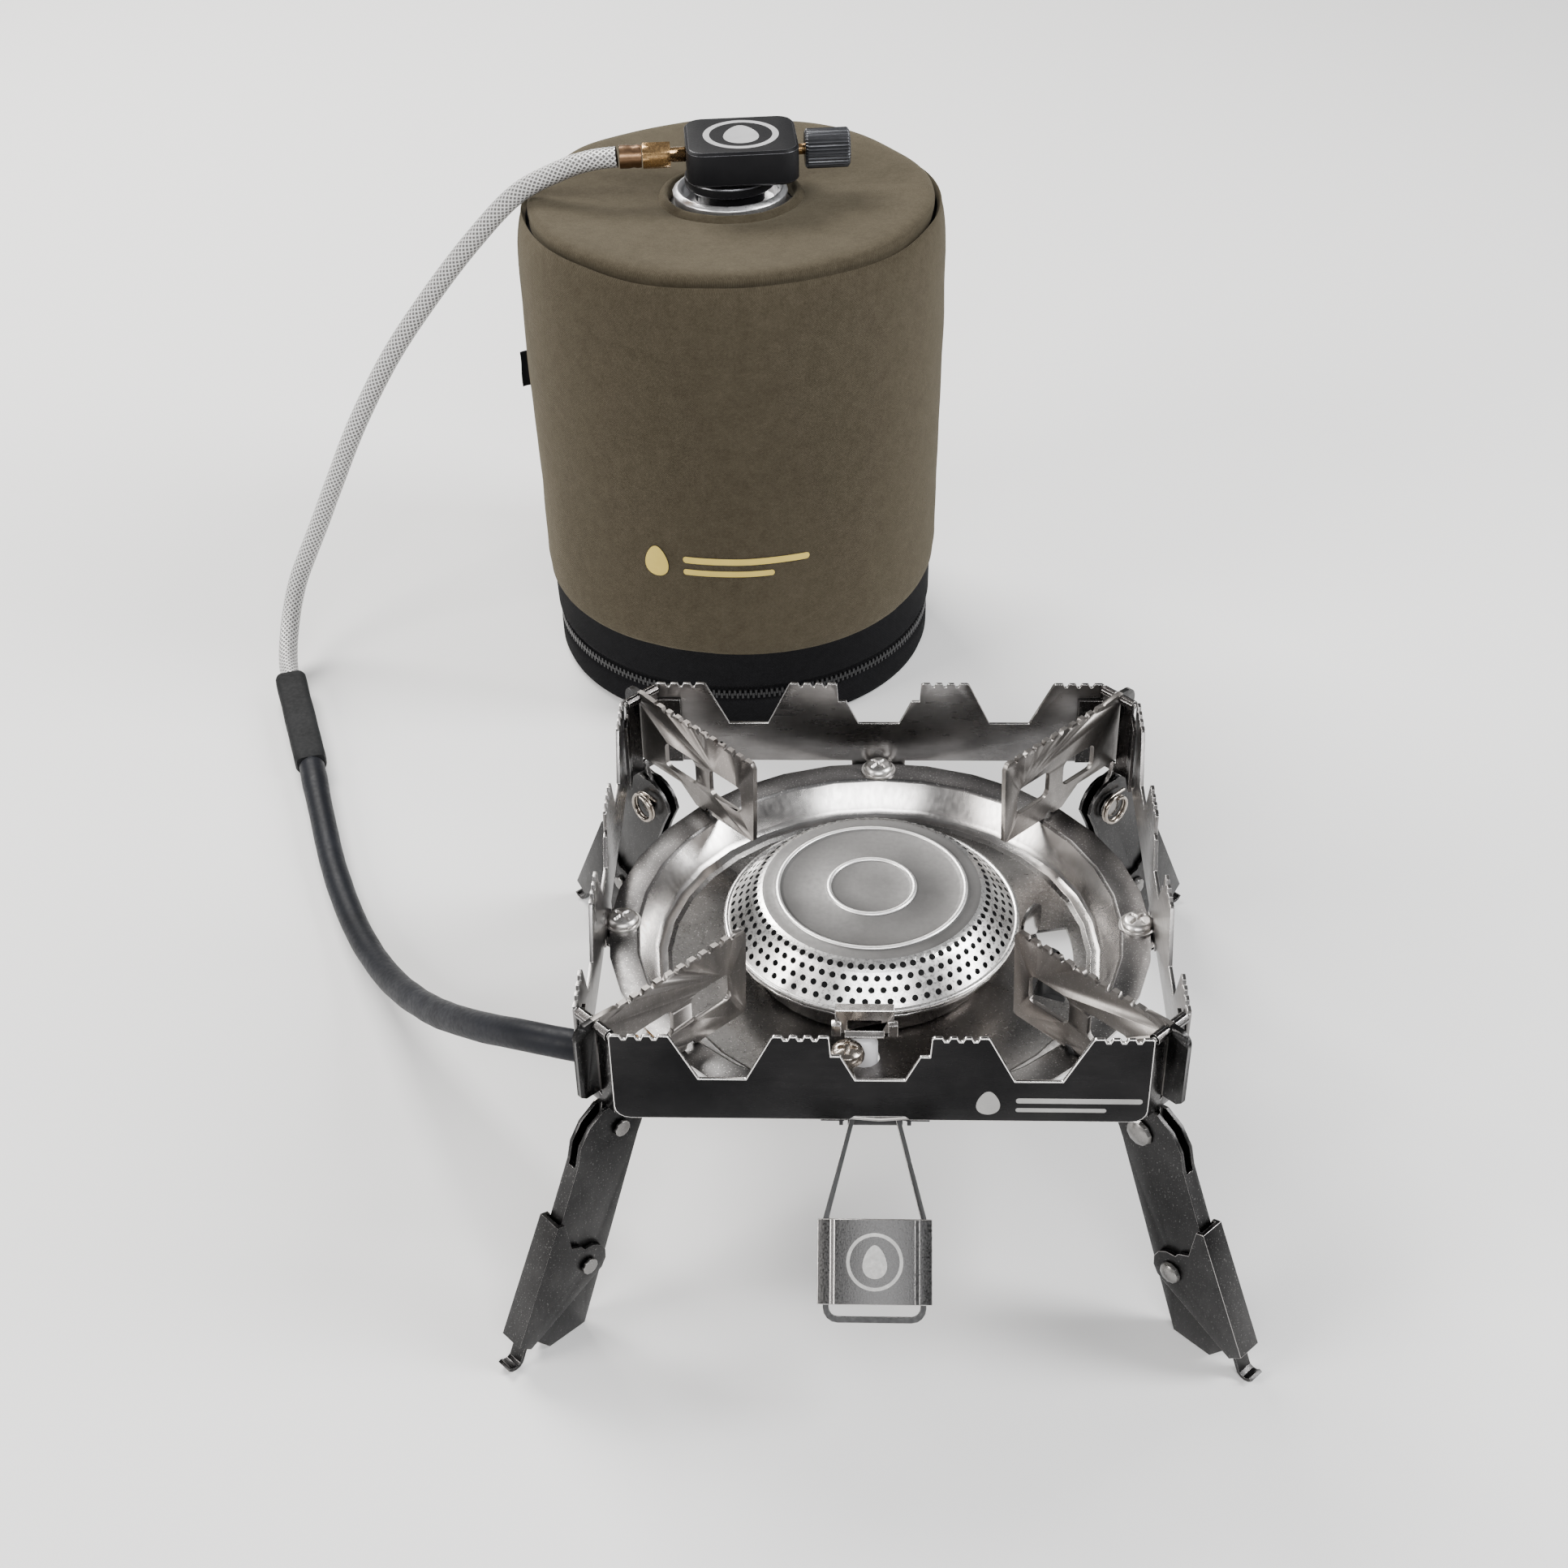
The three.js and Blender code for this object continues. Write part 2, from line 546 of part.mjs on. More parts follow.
// A pressed plate that clips round the loop: raised flat, side steps and lips under the strip.
function handlePlate() {
  const [near, far] = [-20.2, -37];
  const half = [[11.5, -2.4], [10.7, -2.4], [10.7, 1.8], [8.6, 1.8], [7.8, 2.6]];
  const back = [[8.1, 3.3], [8.9, 2.5], [11.5, 2.5]];
  const left = (list) => list.map(([x, z]) => [-x, z]);
  const section = outline([...left(half), ...half.reverse(), ...back.reverse(), ...left(back).reverse()]);
  const shell = standing(section, near - far).translate(0, (near + far) / 2, 0);
  const lip = box(-11.5, 11.5, far, far + 0.8, -2.4, -1.8);
  const under = box(-11.5, 11.5, near - 5, near, -2.4, -1.8);
  return handlePart(piece("handle_plate", [shell, "+", lip, "+", under], matteSteel()));
}
function handlePin() {
  const [py, pz] = HANDLE_PIVOT;
  return piece("handle_pin", rod(0.6, [-8.2, py, pz], [8.2, py, pz], 10), steel()).translateX(HANDLE_X);
}

// ---------- canister, cover and valve ----------
function canister() {
  const wall = 0.6;
  const shell = turned(
    [
      [2, 145.5],
      [5.4, 145.5],
      [5.4, 137.4],
      [13.2, 137.4],
      [13.4, 141.6],
      [14.6, CAN_RIM_TOP],
      [16, 141.4],
      [15.4, 138.6],
      [18.6, 135.6],
      [40, 128.5],
      [50.5, 121.5],
      [CAN_R, 112],
      [CAN_R, 6],
      [52, 3.8],
      [46, 3.8],
      [42, 7],
      [0, 12],
      [0, 12 + wall],
      [42.4, 7 + wall],
      [46.4, 4.5],
      [51.7, 4.5],
      [CAN_R - wall, 6.4],
      [CAN_R - wall, 111.8],
      [50, 121],
      [39.8, 127.8],
      [15, 136.4],
      [2, 136.4],
    ],
    24,
  );
  return piece("gas_canister", shell, metal(0xc9c9cb, 0.25)).translateX(CAN[0]).translateY(CAN[1]);
}
function cover() {
  const inner = CAN_R + 0.6;
  const body = turned(
    [
      [0, 0],
      [52.5, 0],
      [55.4, 0.9],
      [56.4, 3],
      [57, HEM - 1],
      [57.6, HEM + 1],
      [58.8, 60],
      [COVER_R, 100],
      [COVER_R, 124],
      [59.2, 133],
      [57.4, 138.4],
      [55, COVER_TOP - 0.6],
      [50, COVER_TOP],
      [COVER_HOLE_R + 1, COVER_TOP],
      [COVER_HOLE_R, COVER_TOP - 1],
      [COVER_HOLE_R, 137],
      [41, 130],
      [51.4, 122.8],
      [inner, 112.5],
      [inner, 3.2],
      [0, 3.2],
    ],
    28,
  );
  return piece("canister_cover", body, metal(0x59523f, 0.95, 0)).translateX(CAN[0]).translateY(CAN[1]);
}
function zipSlider() {
  const pull = [box(-2.2, 2.2, -59.9, -57.7, 9.6, 16.4), "+", box(-1.5, 1.5, -61.2, -59.6, 3.6, 12)];
  const slider = piece("zip_slider", pull, metal(0x202022, 0.4));
  return slider.translateX(CAN[0]).translateY(CAN[1]).rotateZ(THREE.MathUtils.degToRad(135));
}
// Pieces of the valve are placed on the canister's axis and turned with it.
function onValve(mesh) {
  const g = new THREE.Group();
  g.position.set(CAN[0], CAN[1], 0);
  g.rotation.z = VALVE_TURN;
  g.add(mesh);
  return g;
}
function valveBody() {
  const { wide, deep, low, top, x, y, axis } = VALVE;
  const plan = (inset) => {
    const [w, d] = [wide / 2 - inset, deep / 2 - inset];
    return roundedBox(x - w, x + w, y - d, y + d, 5 - inset);
  };
  const edge = 0.7;
  const bevel = {
    depth: top - low - 2 * edge, bevelThickness: edge, bevelSize: edge, bevelSegments: 1, curveSegments: 5,
  };
  const block = new THREE.ExtrudeGeometry(plan(0.7), bevel).translate(0, 0, low + 0.7);
  const spindleBore = rod(1.9, [x + wide / 2 - 9, y, axis], [x + wide / 2 + 2, y, axis], 14);
  const outletBore = rod(2.4, [x - wide / 2 - 2, y, axis], [x - wide / 2 + 5, y, axis], 14);
  return onValve(piece("valve_body", [block, "-", spindleBore, "-", outletBore], black()));
}
function valveCollar() {
  const ring = turned(
    [
      [5.8, 139],
      [9.6, 139],
      [9.6, 143],
      [12.4, 143.4],
      [12.4, 146],
      [11, 147.5],
      [2, 147.5],
      [2, 146],
      [5.8, 146],
    ],
    28,
  );
  return onValve(piece("valve_collar", ring, black()));
}
function controlKnob() {
  const flutes = 22;
  const rim = Array.from({ length: flutes * 2 }, (_, i) => {
    const a = (i * Math.PI) / flutes;
    const r = KNOB.r - (i % 2 ? 0.45 : 0);
    return [r * Math.cos(a), r * Math.sin(a)];
  });
  const edge = 0.5;
  const bevel = {
    depth: KNOB.long - 2 * edge, bevelThickness: edge, bevelSize: edge, bevelOffset: -edge, bevelSegments: 1,
  };
  const grip = new THREE.ExtrudeGeometry(outline(rim), bevel).rotateY(Math.PI / 2);
  grip.translate(KNOB.from + edge, VALVE.y, VALVE.axis);
  const bore = rod(1.9, [KNOB.from - 2, VALVE.y, VALVE.axis], [KNOB.from + 6, VALVE.y, VALVE.axis], 14);
  return onValve(piece("control_knob", [grip, "-", bore], metal(0x3b3c40, 0.5, 0.6)));
}
function spindle() {
  const end = KNOB.from + 5.6;
  const along = turned([[0, 10.2], [0.6, 11.4], [1.5, 12.6], [1.5, end], [0, end]], 12);
  along.rotateY(Math.PI / 2).translate(0, VALVE.y, VALVE.axis);
  return onValve(piece("valve_spindle", along, brass()));
}
const NUT = { from: -13.9, neck: -16, end: -23.4, ferrule: -30.2 };
function hoseNut() {
  const hex = new THREE.CylinderGeometry(3.7, 3.7, NUT.neck - NUT.end, 6).rotateZ(Math.PI / 2);
  hex.translate((NUT.neck + NUT.end) / 2, VALVE.y, VALVE.axis);
  const neck = rod(2, [NUT.neck - 1, VALVE.y, VALVE.axis], [NUT.from + 3.5, VALVE.y, VALVE.axis], 12);
  const collar = rod(3.3, [NUT.end - 0.1, VALVE.y, VALVE.axis], [NUT.end + 1.6, VALVE.y, VALVE.axis], 18);
  return onValve(piece("hose_nut", [hex, "+", neck, "+", collar], brass()));
}
function hoseFerrule() {
  const crimp = turned([[0, 0], [3, 0], [3.15, 1.2], [2.9, 2.2], [3.15, 3.4], [3.1, 6], [0, 6]], 16);
  crimp.rotateY(-Math.PI / 2).translate(NUT.end - 0.4, VALVE.y, VALVE.axis);
  return onValve(piece("hose_ferrule", crimp, brass()));
}

// ---------- hose ----------
// The hose's centre line: out of the ferrule, down to the ground, along it and up to the stove's inlet.
const BRAID_ROUTE = [
  [-71.2, 206.4, 152.6],
  [-78, 206.2, 151.8],
  [-86.5, 206.4, 149],
  [-99.6, 206.6, 142],
  [-113.4, 206.8, 128],
  [-127, 206.4, 111.6],
  [-140, 205, 94],
  [-152, 203.8, 73.5],
  [-161.4, 203.2, 54],
  [-167.6, 202.4, 40.6],
  [-172.9, 201, 29.6],
  [-175.8, 199, 23.2],
  [-177.6, 195.6, 17.3],
  [-178.4, 190.8, 12.2],
  [-178.3, 184.8, 8.3],
  [-177.3, 178.2, 5.8],
  [-175.4, 171.5, 5],
];
const SLEEVE_ROUTE = [
  [-160.6, 129, 4.6],
  [-153.4, 106.7, 4.4],
  [-144.6, 81, 4.4],
  [-133.6, 55.5, 5.8],
  [-120.6, 31, 12],
  [-105.6, 7, 24],
  [-91, -12, 36.6],
  [-78, -24.6, 45.6],
  [-67.6, -30.6, 48.8],
  [-60.8, -32.8, 49.5],
];
function hosePart(name, route, diameter, steps, material) {
  const curve = new THREE.CatmullRomCurve3(route.map((p) => new THREE.Vector3(...p)));
  const ring = outline(arcPoints(0, 0, diameter / 2, 0, 315, 7));
  return piece(name, new THREE.ExtrudeGeometry(ring, { steps, extrudePath: curve }), material);
}
// The flat label sleeve over the joint between the braid and the rubber.
function hoseTag() {
  const a = new THREE.Vector3(...BRAID_ROUTE.at(-1));
  const b = new THREE.Vector3(...SLEEVE_ROUTE[0]);
  const long = a.distanceTo(b) - 4 * GAP;
  const tag = flat(roundedBox(-4.5, 4.5, -long / 2, long / 2, 0.8), -3.5, 3.5, 2);
  const way = a.clone().sub(b).normalize();
  tag.applyQuaternion(new THREE.Quaternion().setFromUnitVectors(new THREE.Vector3(0, 1, 0), way));
  const middle = a.add(b).multiplyScalar(0.5);
  return piece("hose_tag", tag.translate(middle.x, middle.y, middle.z), rubber());
}

// ---------- the whole object ----------
const CORNERS = { fl: -135, fr: -45, br: 45, bl: 135 };
const root = new THREE.Group();
root.position.set(...FRAME_SHIFT);
root.add(dripBowl(), burnerHead(), burnerBowl(), mixingTube(), jetHolder(), fuelPipe(), inletFitting());
root.add(burnerClip(), electrode(), electrodeScrew(), igniterBody(), ignitionLead());
root.add(handleBracket(), handleLoop(), handlePlate(), handlePin());
for (const [side, degrees] of Object.entries({ back: 0, left: 90, front: 180, right: -90 }))
  root.add(windscreenPanel(side, degrees));
for (const [corner, degrees] of Object.entries(CORNERS)) {
  root.add(cornerPlate(corner, degrees), supportPin(corner, degrees), potSupport(corner, degrees));
  root.add(leg(corner, degrees), shoe(corner, degrees));
  root.add(rivet("leg_rivet_" + corner, LEG_PIVOT, LEG_WIDE / 2, 3.2, degrees));
  root.add(rivet("shoe_rivet_" + corner, SHOE_RIVET, SHOE_WIDE / 2, 2.6, degrees));
}
root.add(canister(), cover(), zipSlider(), valveBody(), valveCollar(), controlKnob(), spindle());
root.add(hoseNut(), hoseFerrule(), hoseTag());
root.add(hosePart("hose_braid", BRAID_ROUTE, BRAID_D, 26, metal(0xc4c4c6, 0.4)));
root.add(hosePart("hose_sleeve", SLEEVE_ROUTE, SLEEVE_D, 22, rubber()));

export default root;
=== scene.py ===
import bpy
import bmesh
import json
import math
from mathutils import Matrix, Vector, noise


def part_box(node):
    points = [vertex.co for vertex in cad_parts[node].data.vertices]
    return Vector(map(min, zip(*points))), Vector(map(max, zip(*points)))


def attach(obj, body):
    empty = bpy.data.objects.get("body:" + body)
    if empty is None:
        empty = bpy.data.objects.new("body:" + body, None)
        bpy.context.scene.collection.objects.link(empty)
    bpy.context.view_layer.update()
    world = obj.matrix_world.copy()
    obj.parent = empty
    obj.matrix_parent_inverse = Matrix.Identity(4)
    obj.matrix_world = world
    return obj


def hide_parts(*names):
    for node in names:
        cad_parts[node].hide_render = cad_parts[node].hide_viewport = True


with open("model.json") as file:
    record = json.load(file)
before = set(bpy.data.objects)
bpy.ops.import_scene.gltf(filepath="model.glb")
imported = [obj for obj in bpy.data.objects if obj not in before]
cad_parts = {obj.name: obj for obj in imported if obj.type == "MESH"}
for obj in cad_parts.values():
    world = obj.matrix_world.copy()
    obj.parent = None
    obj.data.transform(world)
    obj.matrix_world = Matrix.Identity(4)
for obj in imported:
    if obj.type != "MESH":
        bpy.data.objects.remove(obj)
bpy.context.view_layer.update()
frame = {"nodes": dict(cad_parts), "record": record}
NODES = frame["nodes"]
MM = 0.001
TURN = 2 * math.pi


def upright_axis(node):
    """The upright axis through the middle of a node's box, as its point on the ground."""
    low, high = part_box(node)
    return Vector(((low.x + high.x) / 2, (low.y + high.y) / 2, 0))


AXIS = upright_axis("drip_bowl")
CAN = upright_axis("gas_canister")
# each corner of the windscreen and its direction from the burner's axis, in degrees
CORNERS = (("fl", -135), ("fr", -45), ("br", 45), ("bl", 135))
VALVE_TURN = math.radians(6)  # the valve block and its knob point a little to the back


def at(x, y, z):
    """A point given in mm from the burner's axis on the ground."""
    return AXIS + Vector((x, y, z)) * MM


def around(centre, r, a, z):
    """A point r mm from the upright axis through centre, at angle a and z mm up."""
    return centre + Vector((r * math.cos(a), r * math.sin(a), z)) * MM


def level(a):
    """Two level unit vectors: away from an upright axis at angle a, and square to it, counter-clockwise."""
    out = Vector((math.cos(a), math.sin(a), 0))
    return out, Vector((-out.y, out.x, 0))


# ---------- camera and light ----------
CAMERA_YAW, CAMERA_PITCH, CAMERA_ROLL = 2.579, 37.012, -1.313  # degrees
CAMERA_PLACE = (-3.23, -381.57, 383.69)  # mm from the burner's axis
LENS, SENSOR = 51.74, 36
# name, place, target, size, power, tint
SOFTBOXES = [
    ("key", (-0.55, 0.75, 0.95), (0, 0, 0.05), (0.7, 0.45), 27, (1, 0.98, 0.95)),
    ("fill_left", (-1.0, -0.5, 0.6), (0, 0, 0.06), (0.5, 0.7), 14, (1, 0.97, 0.94)),
    ("fill_right", (0.95, -0.1, 0.75), (0, 0, 0.06), (0.35, 0.8), 19, (1, 1, 1)),
    ("front", (0.1, -1.1, 0.9), (0, 0.05, 0.06), (0.9, 0.3), 12, (1, 1, 1)),
]
WORLD_COLOUR, WORLD_STRENGTH = (0.8, 0.81, 0.83, 1), 0.26
FLOOR_COLOUR, FLOOR_SIZE, FLOOR_DROP = (0.82, 0.82, 0.82, 1), 8, 0.0004


def camera():
    yaw, pitch, roll = (math.radians(v) for v in (CAMERA_YAW, CAMERA_PITCH, CAMERA_ROLL))
    forward = Vector((-math.sin(yaw) * math.cos(pitch), math.cos(yaw) * math.cos(pitch), -math.sin(pitch)))
    level_right = Vector((math.cos(yaw), math.sin(yaw), 0))
    level_up = level_right.cross(forward)
    right = level_right * math.cos(roll) + level_up * math.sin(roll)
    up = level_up * math.cos(roll) - level_right * math.sin(roll)
    data = bpy.data.cameras.new("camera")
    data.lens, data.sensor_width = LENS, SENSOR
    data.clip_start, data.clip_end = 0.01, 20
    cam = bpy.data.objects.new("camera", data)
    bpy.context.scene.collection.objects.link(cam)
    turn = Matrix((right, up, -forward)).transposed().to_4x4()
    cam.matrix_world = Matrix.Translation(at(*CAMERA_PLACE)) @ turn
    bpy.context.scene.camera = cam


def softbox(name, place, target, size, power, tint):
    data = bpy.data.lights.new(name, "AREA")
    data.shape, data.size, data.size_y = "RECTANGLE", size[0], size[1]
    data.energy, data.color = power, tint
    lamp = bpy.data.objects.new(name, data)
    lamp.location = place
    lamp.rotation_euler = (Vector(target) - Vector(place)).to_track_quat("-Z", "Y").to_euler()
    bpy.context.scene.collection.objects.link(lamp)


def studio():
    for values in SOFTBOXES:
        softbox(*values)
    world = bpy.data.worlds.new("world")
    world.use_nodes = True
    world.node_tree.nodes["Background"].inputs[0].default_value = WORLD_COLOUR
    world.node_tree.nodes["Background"].inputs[1].default_value = WORLD_STRENGTH
    bpy.context.scene.world = world
    bpy.ops.mesh.primitive_plane_add(size=FLOOR_SIZE, location=(0, 0, -FLOOR_DROP))
    floor = bpy.context.object
    floor.name = "floor"
    material = bpy.data.materials.new("floor")
    material.use_nodes = True
    shader = material.node_tree.nodes["Principled BSDF"]
    shader.inputs["Base Color"].default_value = FLOOR_COLOUR
    shader.inputs["Roughness"].default_value = 0.9
    floor.data.materials.append(material)


# ---------- materials ----------
class Nodes:
    """A small helper to write node materials briefly."""

    def __init__(self, name):
        self.material = bpy.data.materials.new(name)
        self.material.use_nodes = True
        self.tree = self.material.node_tree
        self.shader = self.tree.nodes["Principled BSDF"]

    def add(self, kind, values=None, **settings):
        node = self.tree.nodes.new(kind)
        for key, value in settings.items():
            setattr(node, key, value)
        for key, value in (values or {}).items():
            node.inputs[key].default_value = value
        return node

    def link(self, a, b):
        self.tree.links.new(a, b)

    def feed(self, socket, value):
        """Gives an input a number, a colour or another node's output."""
        if isinstance(value, (int, float)):
            socket.default_value = value
        elif isinstance(value, tuple):
            socket.default_value = (*value, 1)
        else:
            self.link(value, socket)

    def put(self, name, value):
        self.feed(self.shader.inputs[name], value)

    def noise(self, scale, detail=4, mapping=(1, 1, 1), rough=0.55):
        n = self.add("ShaderNodeTexNoise", {"Scale": scale, "Detail": detail, "Roughness": rough})
        place = self.add("ShaderNodeMapping", {"Scale": mapping})
        self.link(self.add("ShaderNodeTexCoord").outputs["Object"], place.inputs["Vector"])
        self.link(place.outputs["Vector"], n.inputs["Vector"])
        return n.outputs["Fac"]

    def uv(self):
        return self.add("ShaderNodeTexCoord").outputs["UV"]

    def ramp(self, fac, stops):
        r = self.add("ShaderNodeValToRGB")
        while len(r.color_ramp.elements) < len(stops):
            r.color_ramp.elements.new(0.5)
        for e, (where, colour) in zip(r.color_ramp.elements, stops):
            e.position, e.color = where, (*colour, 1)
        self.link(fac, r.inputs["Fac"])
        return r.outputs["Color"]

    def spread(self, fac, low, high, start=0.3, end=0.7):
        """Maps start..end of an output to low..high."""
        values = {"From Min": start, "From Max": end, "To Min": low, "To Max": high}
        m = self.add("ShaderNodeMapRange", values)
        self.link(fac, m.inputs["Value"])
        return m.outputs["Result"]

    def math(self, operation, *values):
        m = self.add("ShaderNodeMath", operation=operation)
        for socket, value in zip(m.inputs, values):
            self.feed(socket, value)
        return m.outputs[0]

    def blend(self, *parts):
        """A weighted sum of outputs, each part being (output, weight)."""
        total = self.math("MULTIPLY", *parts[0])
        for part in parts[1:]:
            total = self.math("ADD", total, self.math("MULTIPLY", *part))
        return total

    def mix(self, fac, a, b):
        m = self.add("ShaderNodeMix", data_type="RGBA")
        for name, value in (("Factor", fac), ("A", a), ("B", b)):
            self.feed(m.inputs[name], value)
        return m.outputs["Result"]

    def bump(self, height, strength, distance):
        """Adds a bump on top of any that the shader already has."""
        b = self.add("ShaderNodeBump", {"Strength": strength, "Distance": distance})
        self.link(height, b.inputs["Height"])
        normal = self.shader.inputs["Normal"]
        if normal.is_linked:
            self.link(normal.links[0].from_socket, b.inputs["Normal"])
        self.link(b.outputs["Normal"], normal)


def shade(colour, share):
    return tuple(c * share for c in colour)


HEAT_TINT = (0.42, 0.27, 0.22)
SPECK_COLOUR = (0.9, 0.88, 0.86)


def steel(name, dark, light, rough, grain=(1, 1, 1), warm=0.0, speck=0.0, relief=1.0):
    """Stainless sheet with a patchy tone, heat tint and bright specks.

    The fine grain is drawn out along each axis where grain is below 1.
    """
    n = Nodes(name)
    patch = n.noise(38, 5)
    colour = n.ramp(patch, [(0.32, dark), (0.68, light)])
    if warm:
        heat = n.spread(n.noise(22, 3), 0, warm, 0.45, 0.75)
        colour = n.mix(heat, colour, HEAT_TINT)
    fine = n.noise(900, 3, grain)
    colour = n.mix(n.spread(fine, 0, 0.16, 0.35, 0.7), colour, shade(dark, 0.6))
    if speck:
        spots = n.spread(n.noise(2600, 2), 0, speck, 0.62, 0.72)
        colour = n.mix(spots, colour, SPECK_COLOUR)
    n.put("Base Color", colour)
    n.put("Metallic", 1.0)
    n.put("Roughness", n.spread(n.blend((patch, 0.5), (fine, 0.5)), *rough))
    n.bump(fine, 0.12 * relief, 0.0001)
    n.bump(n.noise(60, 3), 0.045 * relief, 0.0006)
    return n.material


def plain(name, colour, rough, metallic=0.0, bump=0.1, scale=1500, other=None, shine=0.5):
    """One colour that drifts to another one, with a fine grain."""
    n = Nodes(name)
    tone = n.noise(70, 4)
    n.put("Base Color", n.ramp(tone, [(0.3, other or shade(colour, 0.72)), (0.7, colour)]))
    n.put("Metallic", metallic)
    grain = n.noise(scale, 3)
    n.put("Roughness", n.spread(grain, rough - 0.07, rough + 0.08))
    n.bump(grain, bump, 0.00012)
    n.put("Specular IOR Level", shine)
    return n.material


WAVE_PER_MM = 0.314  # the wave texture's scale for one thread per mm, before MM


def fabric(name, low, high, pitch, sheen, ribs):
    """Fine plain weave, pitch in mm, on a soft mottled tone; ribs is how dark the gaps are."""
    n = Nodes(name)
    uv = n.uv()
    threads = []
    for way in ("X", "Y"):
        values = {"Scale": WAVE_PER_MM / (pitch * MM), "Distortion": 0.25, "Detail": 1.0}
        wave = n.add("ShaderNodeTexWave", values, bands_direction=way)
        n.link(uv, wave.inputs["Vector"])
        threads.append(n.math("SUBTRACT", wave.outputs["Fac"], 0.5))
    weave = n.math("ADD", n.math("MULTIPLY", n.math("MULTIPLY", *threads), 2.0), 0.5)
    yarn = n.noise(1500, 3, rough=0.7)
    mottle = n.noise(260, 5, rough=0.75)
    broad = n.noise(14, 2)
    tone = n.ramp(n.blend((yarn, 0.45), (mottle, 0.4), (broad, 0.15)), [(0.36, low), (0.64, high)])
    n.put("Base Color", n.mix(n.spread(weave, ribs, 0.0, 0.1, 0.8), tone, shade(low, 0.5)))
    n.put("Roughness", 0.93)
    n.put("Specular IOR Level", 0.08)
    n.put("Sheen Weight", sheen)
    n.put("Sheen Roughness", 0.5)
    n.put("Sheen Tint", (0.62, 0.56, 0.42))
    n.bump(weave, 0.35, 0.0002)
    n.bump(n.noise(420, 4), 0.3, 0.0003)
    return n.material


BRAID_STRANDS, BRAID_PER_MM, STRAND_WIRES = 12, 0.62, 12


def braid_material():
    """Herringbone of woven wire. V runs along the hose in mm and U once round it."""
    n = Nodes("hose_braid_weave")
    split = n.add("ShaderNodeSeparateXYZ")
    n.link(n.uv(), split.inputs[0])
    turns = n.math("MULTIPLY", split.outputs["X"], BRAID_STRANDS)
    along = n.math("MULTIPLY", split.outputs["Y"], BRAID_PER_MM)
    rising = n.math("ADD", turns, along)

    def bulge(f):
        return n.math("SINE", n.math("MULTIPLY", n.math("FRACT", f), math.pi))

    over = n.math("MAXIMUM", bulge(rising), bulge(n.math("SUBTRACT", turns, along)))
    wires = n.math("ABSOLUTE", n.math("SINE", n.math("MULTIPLY", rising, STRAND_WIRES)))
    tones = [(0.7, (0.13, 0.128, 0.125)), (0.86, (0.42, 0.415, 0.41)), (1.0, (0.74, 0.735, 0.73))]
    n.put("Base Color", n.ramp(over, tones))
    n.put("Metallic", 0.55)
    n.put("Roughness", n.spread(n.noise(800, 3), 0.32, 0.5))
    n.bump(n.blend((over, 0.8), (wires, 0.2)), 0.75, 0.0005)
    return n.material


def brushed(name, colour):
    """Metal with fine lines brushed along Y."""
    n = Nodes(name)
    lines = n.noise(3200, 3, (1, 0.02, 1))
    n.put("Base Color", n.ramp(lines, [(0.35, shade(colour, 0.5)), (0.62, colour)]))
    n.put("Metallic", 1.0)
    n.put("Roughness", n.spread(lines, 0.26, 0.46))
    n.bump(lines, 0.25, 0.00012)
    return n.material


